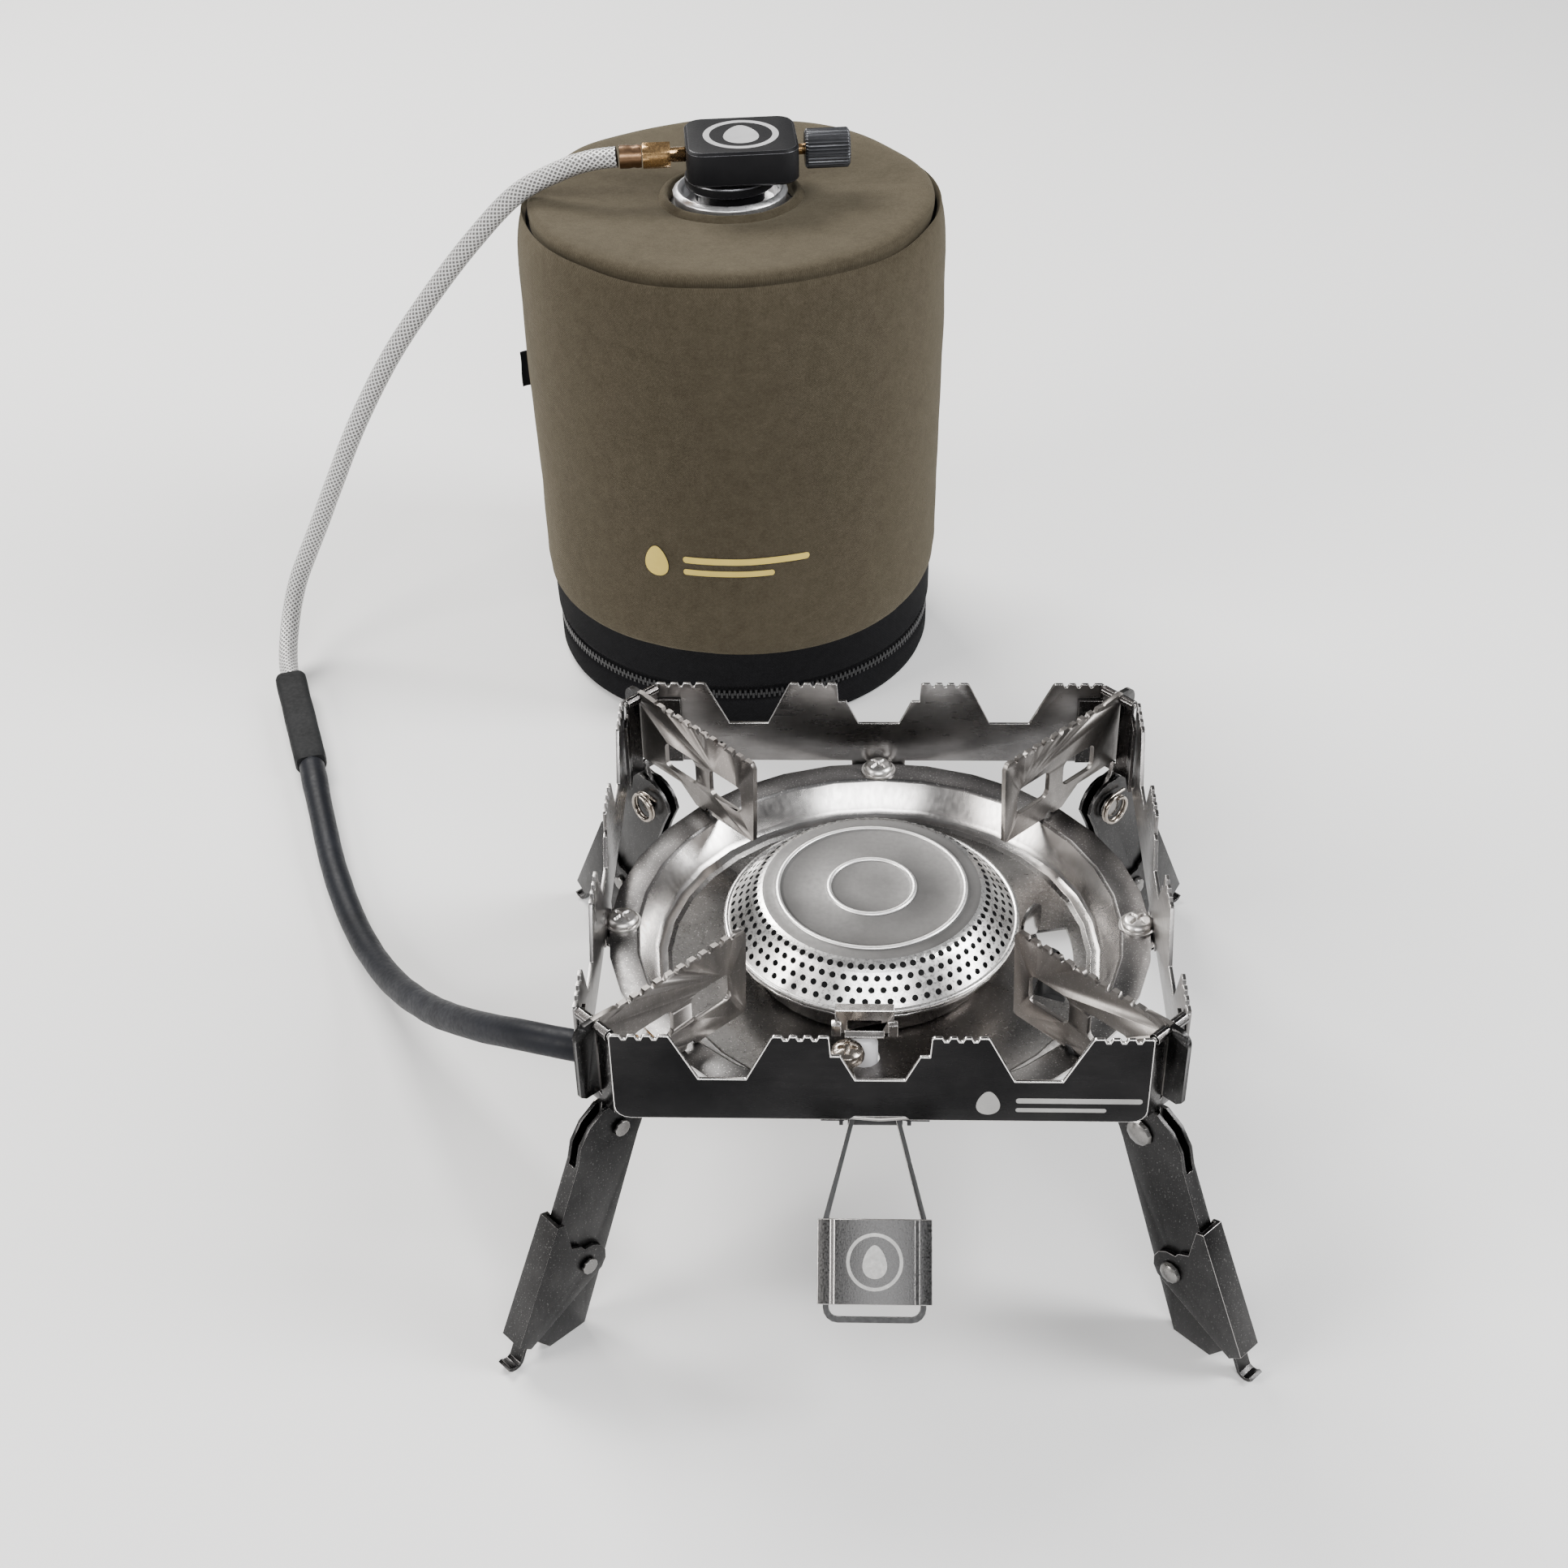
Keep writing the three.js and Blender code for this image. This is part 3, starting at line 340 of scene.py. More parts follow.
MAT = {
    "steel": steel("bright_sheet", (0.3, 0.285, 0.275), (0.62, 0.6, 0.585), (0.18, 0.34),
                   grain=(1, 1, 0.15), warm=0.2, speck=0.3),
    "bowl": steel("bowl_cone", (0.4, 0.385, 0.375), (0.84, 0.82, 0.8), (0.14, 0.3),
                  grain=(1, 1, 0.15), warm=0.1, speck=0.2, relief=0.3),
    # the bowl's floor and flange are darker copies of the cone's steel: painted shade
    "floor": steel("bowl_floor_shade", (0.12, 0.117, 0.113), (0.24, 0.235, 0.23), (0.22, 0.36),
                   grain=(1, 1, 0.3), warm=0.08, speck=0.4, relief=0.3),
    "flange": steel("bowl_flange_shade", (0.1, 0.098, 0.098), (0.21, 0.206, 0.204), (0.26, 0.4),
                    grain=(1, 1, 0.3), warm=0.06, speck=0.55, relief=0.3),
    "blade": steel("support_sheet", (0.15, 0.141, 0.134), (0.28, 0.264, 0.25), (0.31, 0.44),
                   grain=(1, 1, 0.2), warm=0.06, speck=0.2, relief=0.3),
    "screen": steel("screen_inside", (0.1, 0.097, 0.097), (0.27, 0.262, 0.258), (0.23, 0.36),
                    grain=(0.2, 0.2, 1), warm=0.03, relief=0.5),
    "screen_out": steel("screen_outside", (0.008, 0.008, 0.0085), (0.022, 0.0215, 0.022), (0.22, 0.34),
                        grain=(0.2, 0.2, 1)),
    "corner": steel("corner_sheet", (0.02, 0.0195, 0.02), (0.07, 0.068, 0.067), (0.2, 0.34),
                    grain=(1, 1, 0.3), warm=0.1, speck=0.2),
    "leg": steel("leg_sheet", (0.014, 0.014, 0.0145), (0.05, 0.049, 0.049), (0.26, 0.38),
                 grain=(1, 1, 0.3), speck=0.1),
    "burner_top": steel("burner_top", (0.125, 0.123, 0.122), (0.215, 0.212, 0.21), (0.46, 0.6)),
    "burner_side": plain("burner_side", (0.9, 0.89, 0.875), 0.3, metallic=1.0, other=(0.66, 0.65, 0.64)),
    "bead": plain("bright_bead", (0.92, 0.91, 0.9), 0.42, metallic=1.0, bump=0.0, other=(0.86, 0.85, 0.84)),
    # painted shade for the burner's hole walls and the liner behind them
    "hole_shade": plain("painted_hole_shade", (0.012, 0.012, 0.013), 0.8),
    "loop": plain("handle_sheet", (0.012, 0.012, 0.0125), 0.4, bump=0.02,
                  other=(0.008, 0.008, 0.009), shine=0.35),
    "plate": brushed("brushed_plate", (0.075, 0.074, 0.074)),
    # the two bright edge colours are painted highlights along the bevelled edges of the sheet parts
    "edge": plain("painted_edge_highlight", (0.88, 0.86, 0.84), 0.25, metallic=1.0, bump=0.05),
    "soft_edge_highlight": plain("painted_edge_highlight_soft", (0.6, 0.58, 0.57), 0.3, metallic=1.0, bump=0.05),
    "nickel": plain("nickel", (0.66, 0.645, 0.625), 0.33, metallic=1.0, bump=0.0, other=(0.54, 0.52, 0.5)),
    "dark_nickel": plain("dark_nickel", (0.5, 0.45, 0.4), 0.22, metallic=1.0, bump=0.03,
                         other=(0.26, 0.23, 0.2)),
    "rivet": plain("rivet_steel", (0.26, 0.253, 0.245), 0.3, metallic=1.0, bump=0.0,
                   other=(0.17, 0.165, 0.16)),
    "brass": plain("brass", (0.66, 0.42, 0.2), 0.26, metallic=1.0, bump=0.03, other=(0.4, 0.24, 0.105)),
    "brown_brass": plain("brown_brass", (0.3, 0.18, 0.1), 0.36, metallic=1.0, bump=0.06,
                         other=(0.15, 0.09, 0.055)),
    "ceramic": plain("white_ceramic", (0.9, 0.9, 0.92), 0.35, bump=0.06, other=(0.74, 0.74, 0.78)),
    "plastic": plain("igniter_plastic", (0.012, 0.012, 0.013), 0.5, shine=0.3),
    "black": plain("anodised_black", (0.009, 0.009, 0.01), 0.45, bump=0.05,
                   other=(0.004, 0.004, 0.005), shine=0.15),
    # painted highlight along the bevelled edges of the black valve block and collar
    "black_edge_highlight": plain("painted_edge_highlight_black", (0.2, 0.2, 0.215), 0.3, metallic=0.6, bump=0.05),
    "knob": plain("knob_grey", (0.075, 0.077, 0.084), 0.36, metallic=0.75, bump=0.06),
    "rubber": plain("hose_rubber", (0.0085, 0.0095, 0.013), 0.5, bump=0.2, scale=900,
                    other=(0.004, 0.0045, 0.0065), shine=0.13),
    "tag": plain("tag_rubber", (0.014, 0.0145, 0.0155), 0.7, bump=0.4, scale=900,
                 other=(0.008, 0.0085, 0.009), shine=0.12),
    "braid": braid_material(),
    "canister": plain("canister_lacquer", (0.84, 0.84, 0.85), 0.34, metallic=0.95, bump=0.0,
                      other=(0.72, 0.72, 0.73)),
    "cloth": fabric("cover_weave", (0.036, 0.0292, 0.0185), (0.066, 0.0555, 0.0378),
                    pitch=0.62, sheen=0.15, ribs=0.34),
    # the black band colour, also used as painted shade in the cover's seam groove
    "band": fabric("zip_tape_and_seam_shade", (0.004, 0.004, 0.0045), (0.008, 0.008, 0.009),
                   pitch=0.9, sheen=0.0, ribs=0.22),
    "teeth": plain("zip_teeth", (0.012, 0.012, 0.013), 0.4, shine=0.35),
    "print": plain("printed_yellow", (0.56, 0.43, 0.11), 0.75, bump=0.2, scale=1200,
                   other=(0.45, 0.345, 0.085), shine=0.1),
    "etched": plain("etched_grey", (0.4, 0.395, 0.385), 0.5, metallic=0.5),
    "block_print": plain("printed_grey", (0.42, 0.42, 0.43), 0.55, bump=0.05),
}


# ---------- mesh helpers ----------
def piece(name, verts, faces, materials, indices=None, smooth=True, sharp=35, uvs=None):
    mesh = bpy.data.meshes.new(name)
    mesh.from_pydata([tuple(v) for v in verts], [], faces)
    for m in materials:
        mesh.materials.append(m)
    if indices:
        mesh.polygons.foreach_set("material_index", indices)
    if uvs:
        layer = mesh.uv_layers.new(name="UVMap")
        for loop in mesh.loops:
            layer.data[loop.index].uv = uvs[loop.vertex_index]
    if smooth:
        mesh.polygons.foreach_set("use_smooth", [True] * len(mesh.polygons))
        mesh.set_sharp_from_angle(angle=math.radians(sharp))
    mesh.update()
    obj = bpy.data.objects.new(name, mesh)
    bpy.context.scene.collection.objects.link(obj)
    return obj


FLAT_ANGLE, BEVEL_ANGLE, SHARP_ANGLE = math.radians(1.2), math.radians(28), math.radians(32)


def dress(node, body, slot, main, edge, width, segments, zones=(), cuts=()):
    """Stands for a CAD node with the same shape, its flat faces joined and its edges bevelled by width mm;
    when an edge material is given, the bevels take it as a painted highlight.

    zones are pairs of a material and a test on a face's centre, in mm from AXIS, and its normal.
    cuts are planes that split faces, as a point and a normal, so that a zone can end there.
    """
    bm = bmesh.new()
    bm.from_mesh(NODES[node].data)
    bmesh.ops.remove_doubles(bm, verts=bm.verts, dist=2e-6)
    bmesh.ops.dissolve_limit(bm, angle_limit=FLAT_ANGLE, verts=bm.verts, edges=bm.edges)
    for spot, normal in cuts:
        everything = [*bm.verts, *bm.edges, *bm.faces]
        bmesh.ops.bisect_plane(bm, geom=everything, plane_co=spot, plane_no=normal, dist=1e-7)
    for f in bm.faces:
        f.material_index = 0
        f.smooth = True
    if width:
        # the bevels take the edge material, a painted highlight along each edge
        edges = [e for e in bm.edges if len(e.link_faces) == 2 and e.calc_face_angle(0) > BEVEL_ANGLE]
        bmesh.ops.bevel(bm, geom=edges, offset=width * MM, segments=segments, affect="EDGES", profile=0.6,
                        clamp_overlap=True, material=1 if edge else -1)
    bmesh.ops.triangulate(bm, faces=[f for f in bm.faces if len(f.verts) > 4])
    first_zone = 2 if edge else 1
    for f in bm.faces:
        if f.material_index == 0:
            spot = (f.calc_center_median() - AXIS) / MM
            for i, (_, test) in enumerate(zones):
                if test(spot, f.normal):
                    f.material_index = first_zone + i
                    break
    mesh = bpy.data.meshes.new(node + "_detail")
    bm.to_mesh(mesh)
    bm.free()
    for material in (main, edge, *(name for name, _ in zones)):
        if material:
            mesh.materials.append(MAT[material])
    mesh.set_sharp_from_angle(angle=SHARP_ANGLE)
    obj = bpy.data.objects.new(node + "_detail", mesh)
    bpy.context.scene.collection.objects.link(obj)
    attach(obj, body)
    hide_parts(node)


def spline(points, step):
    """Catmull-Rom through points, resampled about every step metres."""
    pts = [Vector(p) for p in points]
    pts = [pts[0] * 2 - pts[1]] + pts + [pts[-1] * 2 - pts[-2]]
    out = []
    for i in range(1, len(pts) - 2):
        p0, p1, p2, p3 = pts[i - 1 : i + 3]
        n = max(2, round((p2 - p1).length / step))
        for k in range(n):
            t = k / n
            out.append(0.5 * ((2 * p1) + (p2 - p0) * t + (2 * p0 - 5 * p1 + 4 * p2 - p3) * t * t
                              + (3 * p1 - p0 - 3 * p2 + p3) * t ** 3))
    return out + [pts[-2]]


def grid(rows, count, closed=True, start=0):
    """Quads between rows of count points each; a closed row joins its last point to its first."""
    faces = []
    for i in range(rows - 1):
        row = start + i * count
        for k in range(count if closed else count - 1):
            n = (k + 1) % count
            faces.append((row + k, row + n, row + count + n, row + count + k))
    return faces


def flipped(faces):
    """The same faces, seen from their other side."""
    return [(f[0], *reversed(f[1:])) for f in faces]


def sweep(points, radius, sides):
    """Verts, faces and UVs of a tube; radius is a function of the share along it, and V is in mm."""
    verts, uvs = [], []
    up = Vector((0, 0, 1))
    across = None
    total = sum((b - a).length for a, b in zip(points, points[1:]))
    run = 0
    for i, p in enumerate(points):
        ahead = (points[min(i + 1, len(points) - 1)] - points[max(i - 1, 0)]).normalized()
        across = (across or ahead.cross(up)) - ahead * ahead.dot(across or ahead.cross(up))
        across.normalize()
        over = ahead.cross(across)
        if i:
            run += (p - points[i - 1]).length
        r = radius(run / total)
        for k in range(sides + 1):
            a = TURN * k / sides
            verts.append(p + (across * math.cos(a) + over * math.sin(a)) * r)
            uvs.append((k / sides, run / MM))
    last = (len(points) - 1) * (sides + 1)
    faces = grid(len(points), sides + 1, closed=False)
    faces += [tuple(reversed(range(sides))), tuple(range(last, last + sides))]
    return verts, faces, uvs


def lathe(profile, centre, segments=96):
    """Verts and faces of an open profile, [radius, z] points in mm, turned about centre's upright axis."""
    verts = [around(centre, r, TURN * k / segments, z) for r, z in profile for k in range(segments)]
    return verts, grid(len(profile), segments)


# ---------- the hose ----------
# its two stretches in mm from the burner's axis, from the valve to the tag and from the tag to the stove
BRAID = [(-71.2, 206.4, 152.6), (-78, 206.2, 151.8), (-86.5, 206.4, 149), (-99.6, 206.6, 142),
         (-113.4, 206.8, 128), (-127, 206.4, 111.6), (-140, 205, 94), (-152, 203.8, 73.5),
         (-161.4, 203.2, 54), (-167.6, 202.4, 40.6), (-172.9, 201, 29.6), (-175.8, 199, 23.2),
         (-177.6, 195.6, 17.3), (-178.4, 190.8, 12.2), (-178.3, 184.8, 8.3), (-177.3, 178.2, 5.8),
         (-175.4, 171.5, 5)]
SLEEVE = [(-160.6, 129, 4.6), (-153.4, 106.7, 4.4), (-144.6, 81, 4.4), (-133.6, 55.5, 5.8),
          (-120.6, 31, 12), (-105.6, 7, 24), (-91, -12, 36.6), (-78, -24.6, 45.6),
          (-67.6, -30.6, 48.8), (-60.8, -32.8, 49.5)]
HOSE_STEP = 1.2 * MM
HOSE_SIDES = 20
TAG_SPANS = 20  # steps of the hose inside the tag
BRAID_RADIUS, RUBBER_RADIUS = 2.8, 3.45  # mm
TAG_RINGS, TAG_SIDES = 26, 24
TAG_HALF_WIDTH, TAG_HALF_HEIGHT, TAG_END_ROUND = 4.5, 3.3, 0.5  # mm
TAG_SQUARENESS = 0.45  # 1 would be an oval section, 0 a rectangle


def hose():
    """The braided and the rubber stretch as one piece, with the tag over their joint."""
    braid = spline([at(*p) for p in BRAID], HOSE_STEP)
    sleeve = spline([at(*p) for p in SLEEVE], HOSE_STEP)
    middle = [braid[-1].lerp(sleeve[0], k / TAG_SPANS) for k in range(1, TAG_SPANS)]
    line = braid + middle + sleeve
    run = [0]
    for a, b in zip(line, line[1:]):
        run.append(run[-1] + (b - a).length)
    change = run[len(braid) + TAG_SPANS // 2] / run[-1]
    start = run[len(braid) + TAG_SPANS] / run[-1]

    def radius(t):
        if t < start:
            return BRAID_RADIUS * MM
        near_tag = max(0.0, 1 - abs(t - start - 0.012) / 0.03)
        lump = 0.12 * noise.noise(Vector((t * 60, 0, 3)))
        return (RUBBER_RADIUS + 0.25 * near_tag + lump) * MM

    verts, faces, uvs = sweep(line, radius, HOSE_SIDES)
    walls = (len(line) - 1) * HOSE_SIDES
    indices = [0 if f < walls and run[f // HOSE_SIDES] / run[-1] < change else 1 for f in range(len(faces))]
    obj = piece("hose", verts, faces, [MAT["braid"], MAT["rubber"]], indices, uvs=uvs, sharp=60)
    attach(obj, "root")
    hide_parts("hose_braid", "hose_sleeve")
    tag = hose_tag(at(*BRAID[-1]), at(*SLEEVE[0]))
    return run[-1]


def hose_tag(a, b):
    """The flat heat-shrunk tag from a to b, with a nearly rectangular section."""
    way = (b - a).normalized()
    side = way.cross(Vector((0, 0, 1))).normalized()
    up = side.cross(way)
    verts = []
    for i in range(TAG_RINGS + 1):
        t = i / TAG_RINGS
        p = a.lerp(b, 0.005 + 0.99 * t)
        end = TAG_END_ROUND if i in (0, TAG_RINGS) else 0
        wide = (TAG_HALF_WIDTH - end) * (1 + 0.03 * noise.noise(Vector((t * 5, 1, 0))))
        high = (TAG_HALF_HEIGHT - end) * (1 - 0.06 * math.sin(t * math.pi))
        for k in range(TAG_SIDES):
            c, s = math.cos(TURN * k / TAG_SIDES), math.sin(TURN * k / TAG_SIDES)
            x = math.copysign(abs(c) ** TAG_SQUARENESS, c) * wide
            z = math.copysign(abs(s) ** TAG_SQUARENESS, s) * high
            verts.append(p + (side * x + up * z) * MM)
    last = TAG_RINGS * TAG_SIDES
    faces = grid(TAG_RINGS + 1, TAG_SIDES)
    faces += [tuple(range(TAG_SIDES)), tuple(range(last, last + TAG_SIDES))]
    tag = piece("tag_sleeve", verts, faces, [MAT["tag"]])
    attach(tag, "root")
    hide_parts("hose_tag")
    return tag


# ---------- the insulated cover ----------
# all in mm; the wall widens from the hem to the shoulder, where the top panel is sewn in
COVER_SEGMENTS, WALL_ROWS = 220, 30
HEM_HEIGHT, HEM_DIP = 27.8, 1.8
WALL_RADIUS, WALL_FLARE, SHOULDER_HEIGHT = 58.05, 1.75, 124
TOP_START = 137  # above this height the surface is the top panel
SHOULDER = [(59.8, 124), (59.75, 127), (59.6, 130), (59.3, 132.6), (58.9, 134.8), (58.35, 136.7), (57.8, 138),
            (57.55, 138.3), (57.3, 138.15), (57.05, 137.6)]
# the groove's faces take the near-black band colour, a painted shade in the seam's crease
SEAM_GROOVE = [(56.85, 136.9), (56.35, 136.2), (55.9, 136.5)]
TOP_PANEL = [(55.85, 137.9), (55.95, 139.0), (55.7, 139.9), (55.0, 140.6), (53.8, 141.0), (52, 141.15),
             (49, 141.05), (44, 140.8), (39, 140.6), (34, 140.4), (29, 140.25), (25, 140.1), (22, 140.0),
             (20.6, 139.85)]
HOLE_PIPING = [(20.1, 139.75), (19.85, 140.2), (19.5, 140.8), (19.0, 141.2), (18.4, 141.35), (17.8, 141.15),
               (17.4, 140.6), (17.25, 139.8), (17.4, 138.4), (17.8, 136.8)]
TEETH = 230
TOOTH_INNER, TOOTH_OUTER, TOOTH_TAPER = 55.3, 56.35, 0.7
TOOTH_HALF_WIDTH, TOOTH_HALF_HEIGHT = 0.45, 0.85
TOOTH_ROW_HEIGHTS = (10.9, 11.9)
TOOTH_FACES = ((0, 1, 3, 2), (4, 6, 7, 5), (0, 4, 5, 1), (2, 3, 7, 6), (0, 2, 6, 4), (1, 5, 7, 3))
LABEL_ANGLE = math.radians(188)
LABEL_ROWS, LABEL_COLUMNS = 7, 6
LABEL_BOTTOM, LABEL_ROW_PITCH, LABEL_COLUMN_PITCH = 86.5, 1.75, 0.55
LABEL_HALF_THICKNESS = 0.35


def hem(a):
    """Height of the cloth's lower edge, which dips at the front."""
    return HEM_HEIGHT + HEM_DIP * math.sin(a) + 0.5 * math.sin(3 * a + 1)


def wall_radius(z):
    return WALL_RADIUS + WALL_FLARE * (z / SHOULDER_HEIGHT) ** 1.1


def softness(a, z):
    """The padding's gentle unevenness, in mm."""
    spot = Vector((math.cos(a) * 1.6, math.sin(a) * 1.6, z / 38))
    return noise.noise(spot) * 0.55 + noise.noise(spot * 3.1 + Vector((4, 0, 0))) * 0.2


def cover_rows(a):
    """The cover's profile at angle a, from the base to the hole: radius, height and material of each row."""
    edge = hem(a)
    base = [(54.6, 0.2), (55.7, 0.9), (56.3, 2.6), (56.4, 7.4), (56.2, 8.6), (55.6, 9.2), (55.6, 13.6),
            (56.4, 14.2), (56.9, min(15.4, edge - 0.8)), (57.1, edge - 0.4)]
    cloth_edge = [(57.5, edge), (57.9, edge + 0.7), (WALL_RADIUS, edge + 3)]
    wall = []
    for k in range(1, WALL_ROWS):
        z = edge + 3 + (SHOULDER_HEIGHT - edge - 3) * k / WALL_ROWS
        wall.append((wall_radius(z), z))
    # material 1 is the black band: real on the base, painted shade in the seam groove
    parts = [(base, 1), (cloth_edge + wall + SHOULDER, 0), (SEAM_GROOVE, 1), (TOP_PANEL + HOLE_PIPING, 0)]
    return [(r, z, material) for profile, material in parts for r, z in profile]


def cover_point(a, r, z):
    """A point of the profile moved by the cloth's softness, and puckered along the top seam."""
    soft = softness(a, z)
    if z > 136.9 and r > 22:
        z += soft * 0.8 + 0.25 * math.sin(5 * a + 2) * max(0, (r - 50) / 8)
        near_seam = max(0, (r - 46) / 10)
        r += 0.75 * near_seam * noise.noise(Vector((math.cos(a) * 2.6, math.sin(a) * 2.6, 7)))
        z += 0.8 * near_seam * noise.noise(Vector((math.cos(a) * 2.2, math.sin(a) * 2.2, 11)))
    elif z > 26:
        r += soft
    return r, z


def cover():
    """A padded sleeve with a rolled top seam, whose groove is painted dark as shade, a hem that dips at the
    front and a zipped base band.
    """
    angles = [TURN * k / COVER_SEGMENTS for k in range(COVER_SEGMENTS + 1)]
    profiles = [cover_rows(a) for a in angles]
    count = len(profiles[0])
    verts, uvs, indices = [], [], []
    for i in range(count):
        for a, profile in zip(angles, profiles):
            r, z = cover_point(a, *profile[i][:2])
            verts.append(around(CAN, r, a, z))
            uvs.append((a * 57 * MM, (z if z < TOP_START else TOP_START + (58 - r)) * MM))
    faces = grid(count, COVER_SEGMENTS + 1, closed=False)
    for row, above in zip(profiles[0], profiles[0][1:]):
        indices += [1 if row[2] and above[2] else 0] * COVER_SEGMENTS
    centre = len(verts)
    verts.append(CAN + Vector((0, 0, 0.2)) * MM)
    uvs.append((0, 0))
    faces += [(k + 1, k, centre) for k in range(COVER_SEGMENTS)]
    indices += [1] * COVER_SEGMENTS
    obj = piece("insulated_cover", verts, faces, [MAT["cloth"], MAT["band"]], indices, uvs=uvs, sharp=70)
    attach(obj, "root")
    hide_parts("canister_cover")


def zip_teeth():
    """Two rows of interlocked teeth in the groove of the base band."""
    verts, faces = [], []
    for row, height in enumerate(TOOTH_ROW_HEIGHTS):
        for k in range(TEETH):
            out, side = level(TURN * (k + row / 2) / TEETH)
            base = len(verts)
            for r, taper in ((TOOTH_INNER, 1), (TOOTH_OUTER, TOOTH_TAPER)):
                for across in (-TOOTH_HALF_WIDTH, TOOTH_HALF_WIDTH):
                    for up in (-TOOTH_HALF_HEIGHT, TOOTH_HALF_HEIGHT):
                        spot = out * r + side * across * taper + Vector((0, 0, height + up))
                        verts.append(CAN + spot * MM)
            faces += [tuple(base + q for q in f) for f in TOOTH_FACES]
    teeth = piece("zip_teeth_rows", verts, faces, [MAT["teeth"]], smooth=False)
    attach(teeth, "root")


def side_label():
    """The folded label in the left side seam, a bent strip with two sides."""
    out, side = level(LABEL_ANGLE)
    verts, faces = [], []
    for j in range(LABEL_ROWS):
        for i in range(LABEL_COLUMNS):
            r = 58.9 + i * LABEL_COLUMN_PITCH + 0.1 * math.sin(j)
            bend = 0.9 * (i / (LABEL_COLUMNS - 1)) ** 2 + 0.25 * math.sin(j * 0.9)
            for s in (-LABEL_HALF_THICKNESS, LABEL_HALF_THICKNESS):
                height = Vector((0, 0, LABEL_BOTTOM + j * LABEL_ROW_PITCH))
                verts.append(CAN + (out * r + side * (bend + s) + height) * MM)
    row = 2 * LABEL_COLUMNS
    top = (LABEL_ROWS - 1) * row
    for j in range(LABEL_ROWS - 1):
        for i in range(LABEL_COLUMNS - 1):
            a = j * row + 2 * i
            faces.append((a, a + row, a + row + 2, a + 2))
            faces.append((a + 1, a + 3, a + row + 3, a + row + 1))
        outer = (j + 1) * row - 2
        faces.append((outer, outer + row, outer + row + 1, outer + 1))
    for a in range(0, row - 2, 2):
        faces.append((a, a + 2, a + 3, a + 1))
        faces.append((top + a, top + a + 1, top + a + 3, top + a + 2))
    label = piece("side_label", verts, faces, [MAT["band"]])
    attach(label, "root")


# ---------- generic marks ----------
def drop(x, y, height):
    """Outline of a plain flame drop with its middle at x, y."""
    points = []
    for k in range(28):
        a = TURN * k / 28
        w = math.sin(a) * (0.36 + 0.1 * math.cos(a))
        points.append((x + w * height, y - math.cos(a) * 0.5 * height))
    return points


def bar(x0, x1, y0, y1, r):
    """A bar with round corners, with points about every 1.5 mm along it so that it can follow a curve."""
    points = []
    left, right, low, high = x0 + r, x1 - r, y0 + r, y1 - r
    for cx, cy, start in ((right, low, -90), (right, high, 0), (left, high, 90), (left, low, 180)):
        for k in range(5):
            a = math.radians(start + 22.5 * k)
            points.append((cx + r * math.cos(a), cy + r * math.sin(a)))
        if start in (0, 180):
            steps = max(2, round((x1 - x0) / 1.5))
            x, y = points[-1]
            far = left if start == 0 else right
            points += [(x + (far - x) * k / steps, y) for k in range(1, steps)]
    return points


def circle(r):
    return [(r * math.cos(TURN * k / 40), r * math.sin(TURN * k / 40)) for k in range(40)]


MARK_RINGS = 14  # outlines inside each shape, so that the print can follow a curved surface


def mark(name, shapes, place, material, body, ring=()):
    """Thin printed shapes and a ring of two circles; place maps x, y in mm to a point on the surface."""
    verts, faces = [], []
    for shape in shapes:
        base, count = len(verts), len(shape)
        cx, cy = (sum(p[i] for p in shape) / count for i in (0, 1))
        for k in range(MARK_RINGS):
            share = 1 - k / MARK_RINGS
            verts += [place(cx + (x - cx) * share, cy + (y - cy) * share) for x, y in shape]
        faces += grid(MARK_RINGS, count, start=base)
        faces.append(tuple(range(len(verts) - count, len(verts))))
    if ring:
        base = len(verts)
        verts += [place(*p) for circle_points in ring for p in circle_points]
        faces += grid(2, len(ring[0]), start=base)
    obj = piece(name, verts, faces, [material])
    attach(obj, body)


COVER_MARK_HEIGHT, COVER_MARK_LIFT = 56, 0.3  # mm
SCREEN_PRINT, BLOCK_PRINT, PLATE_PRINT = 0.04 * MM, 0.05 * MM, 0.06 * MM  # how far each print stands proud


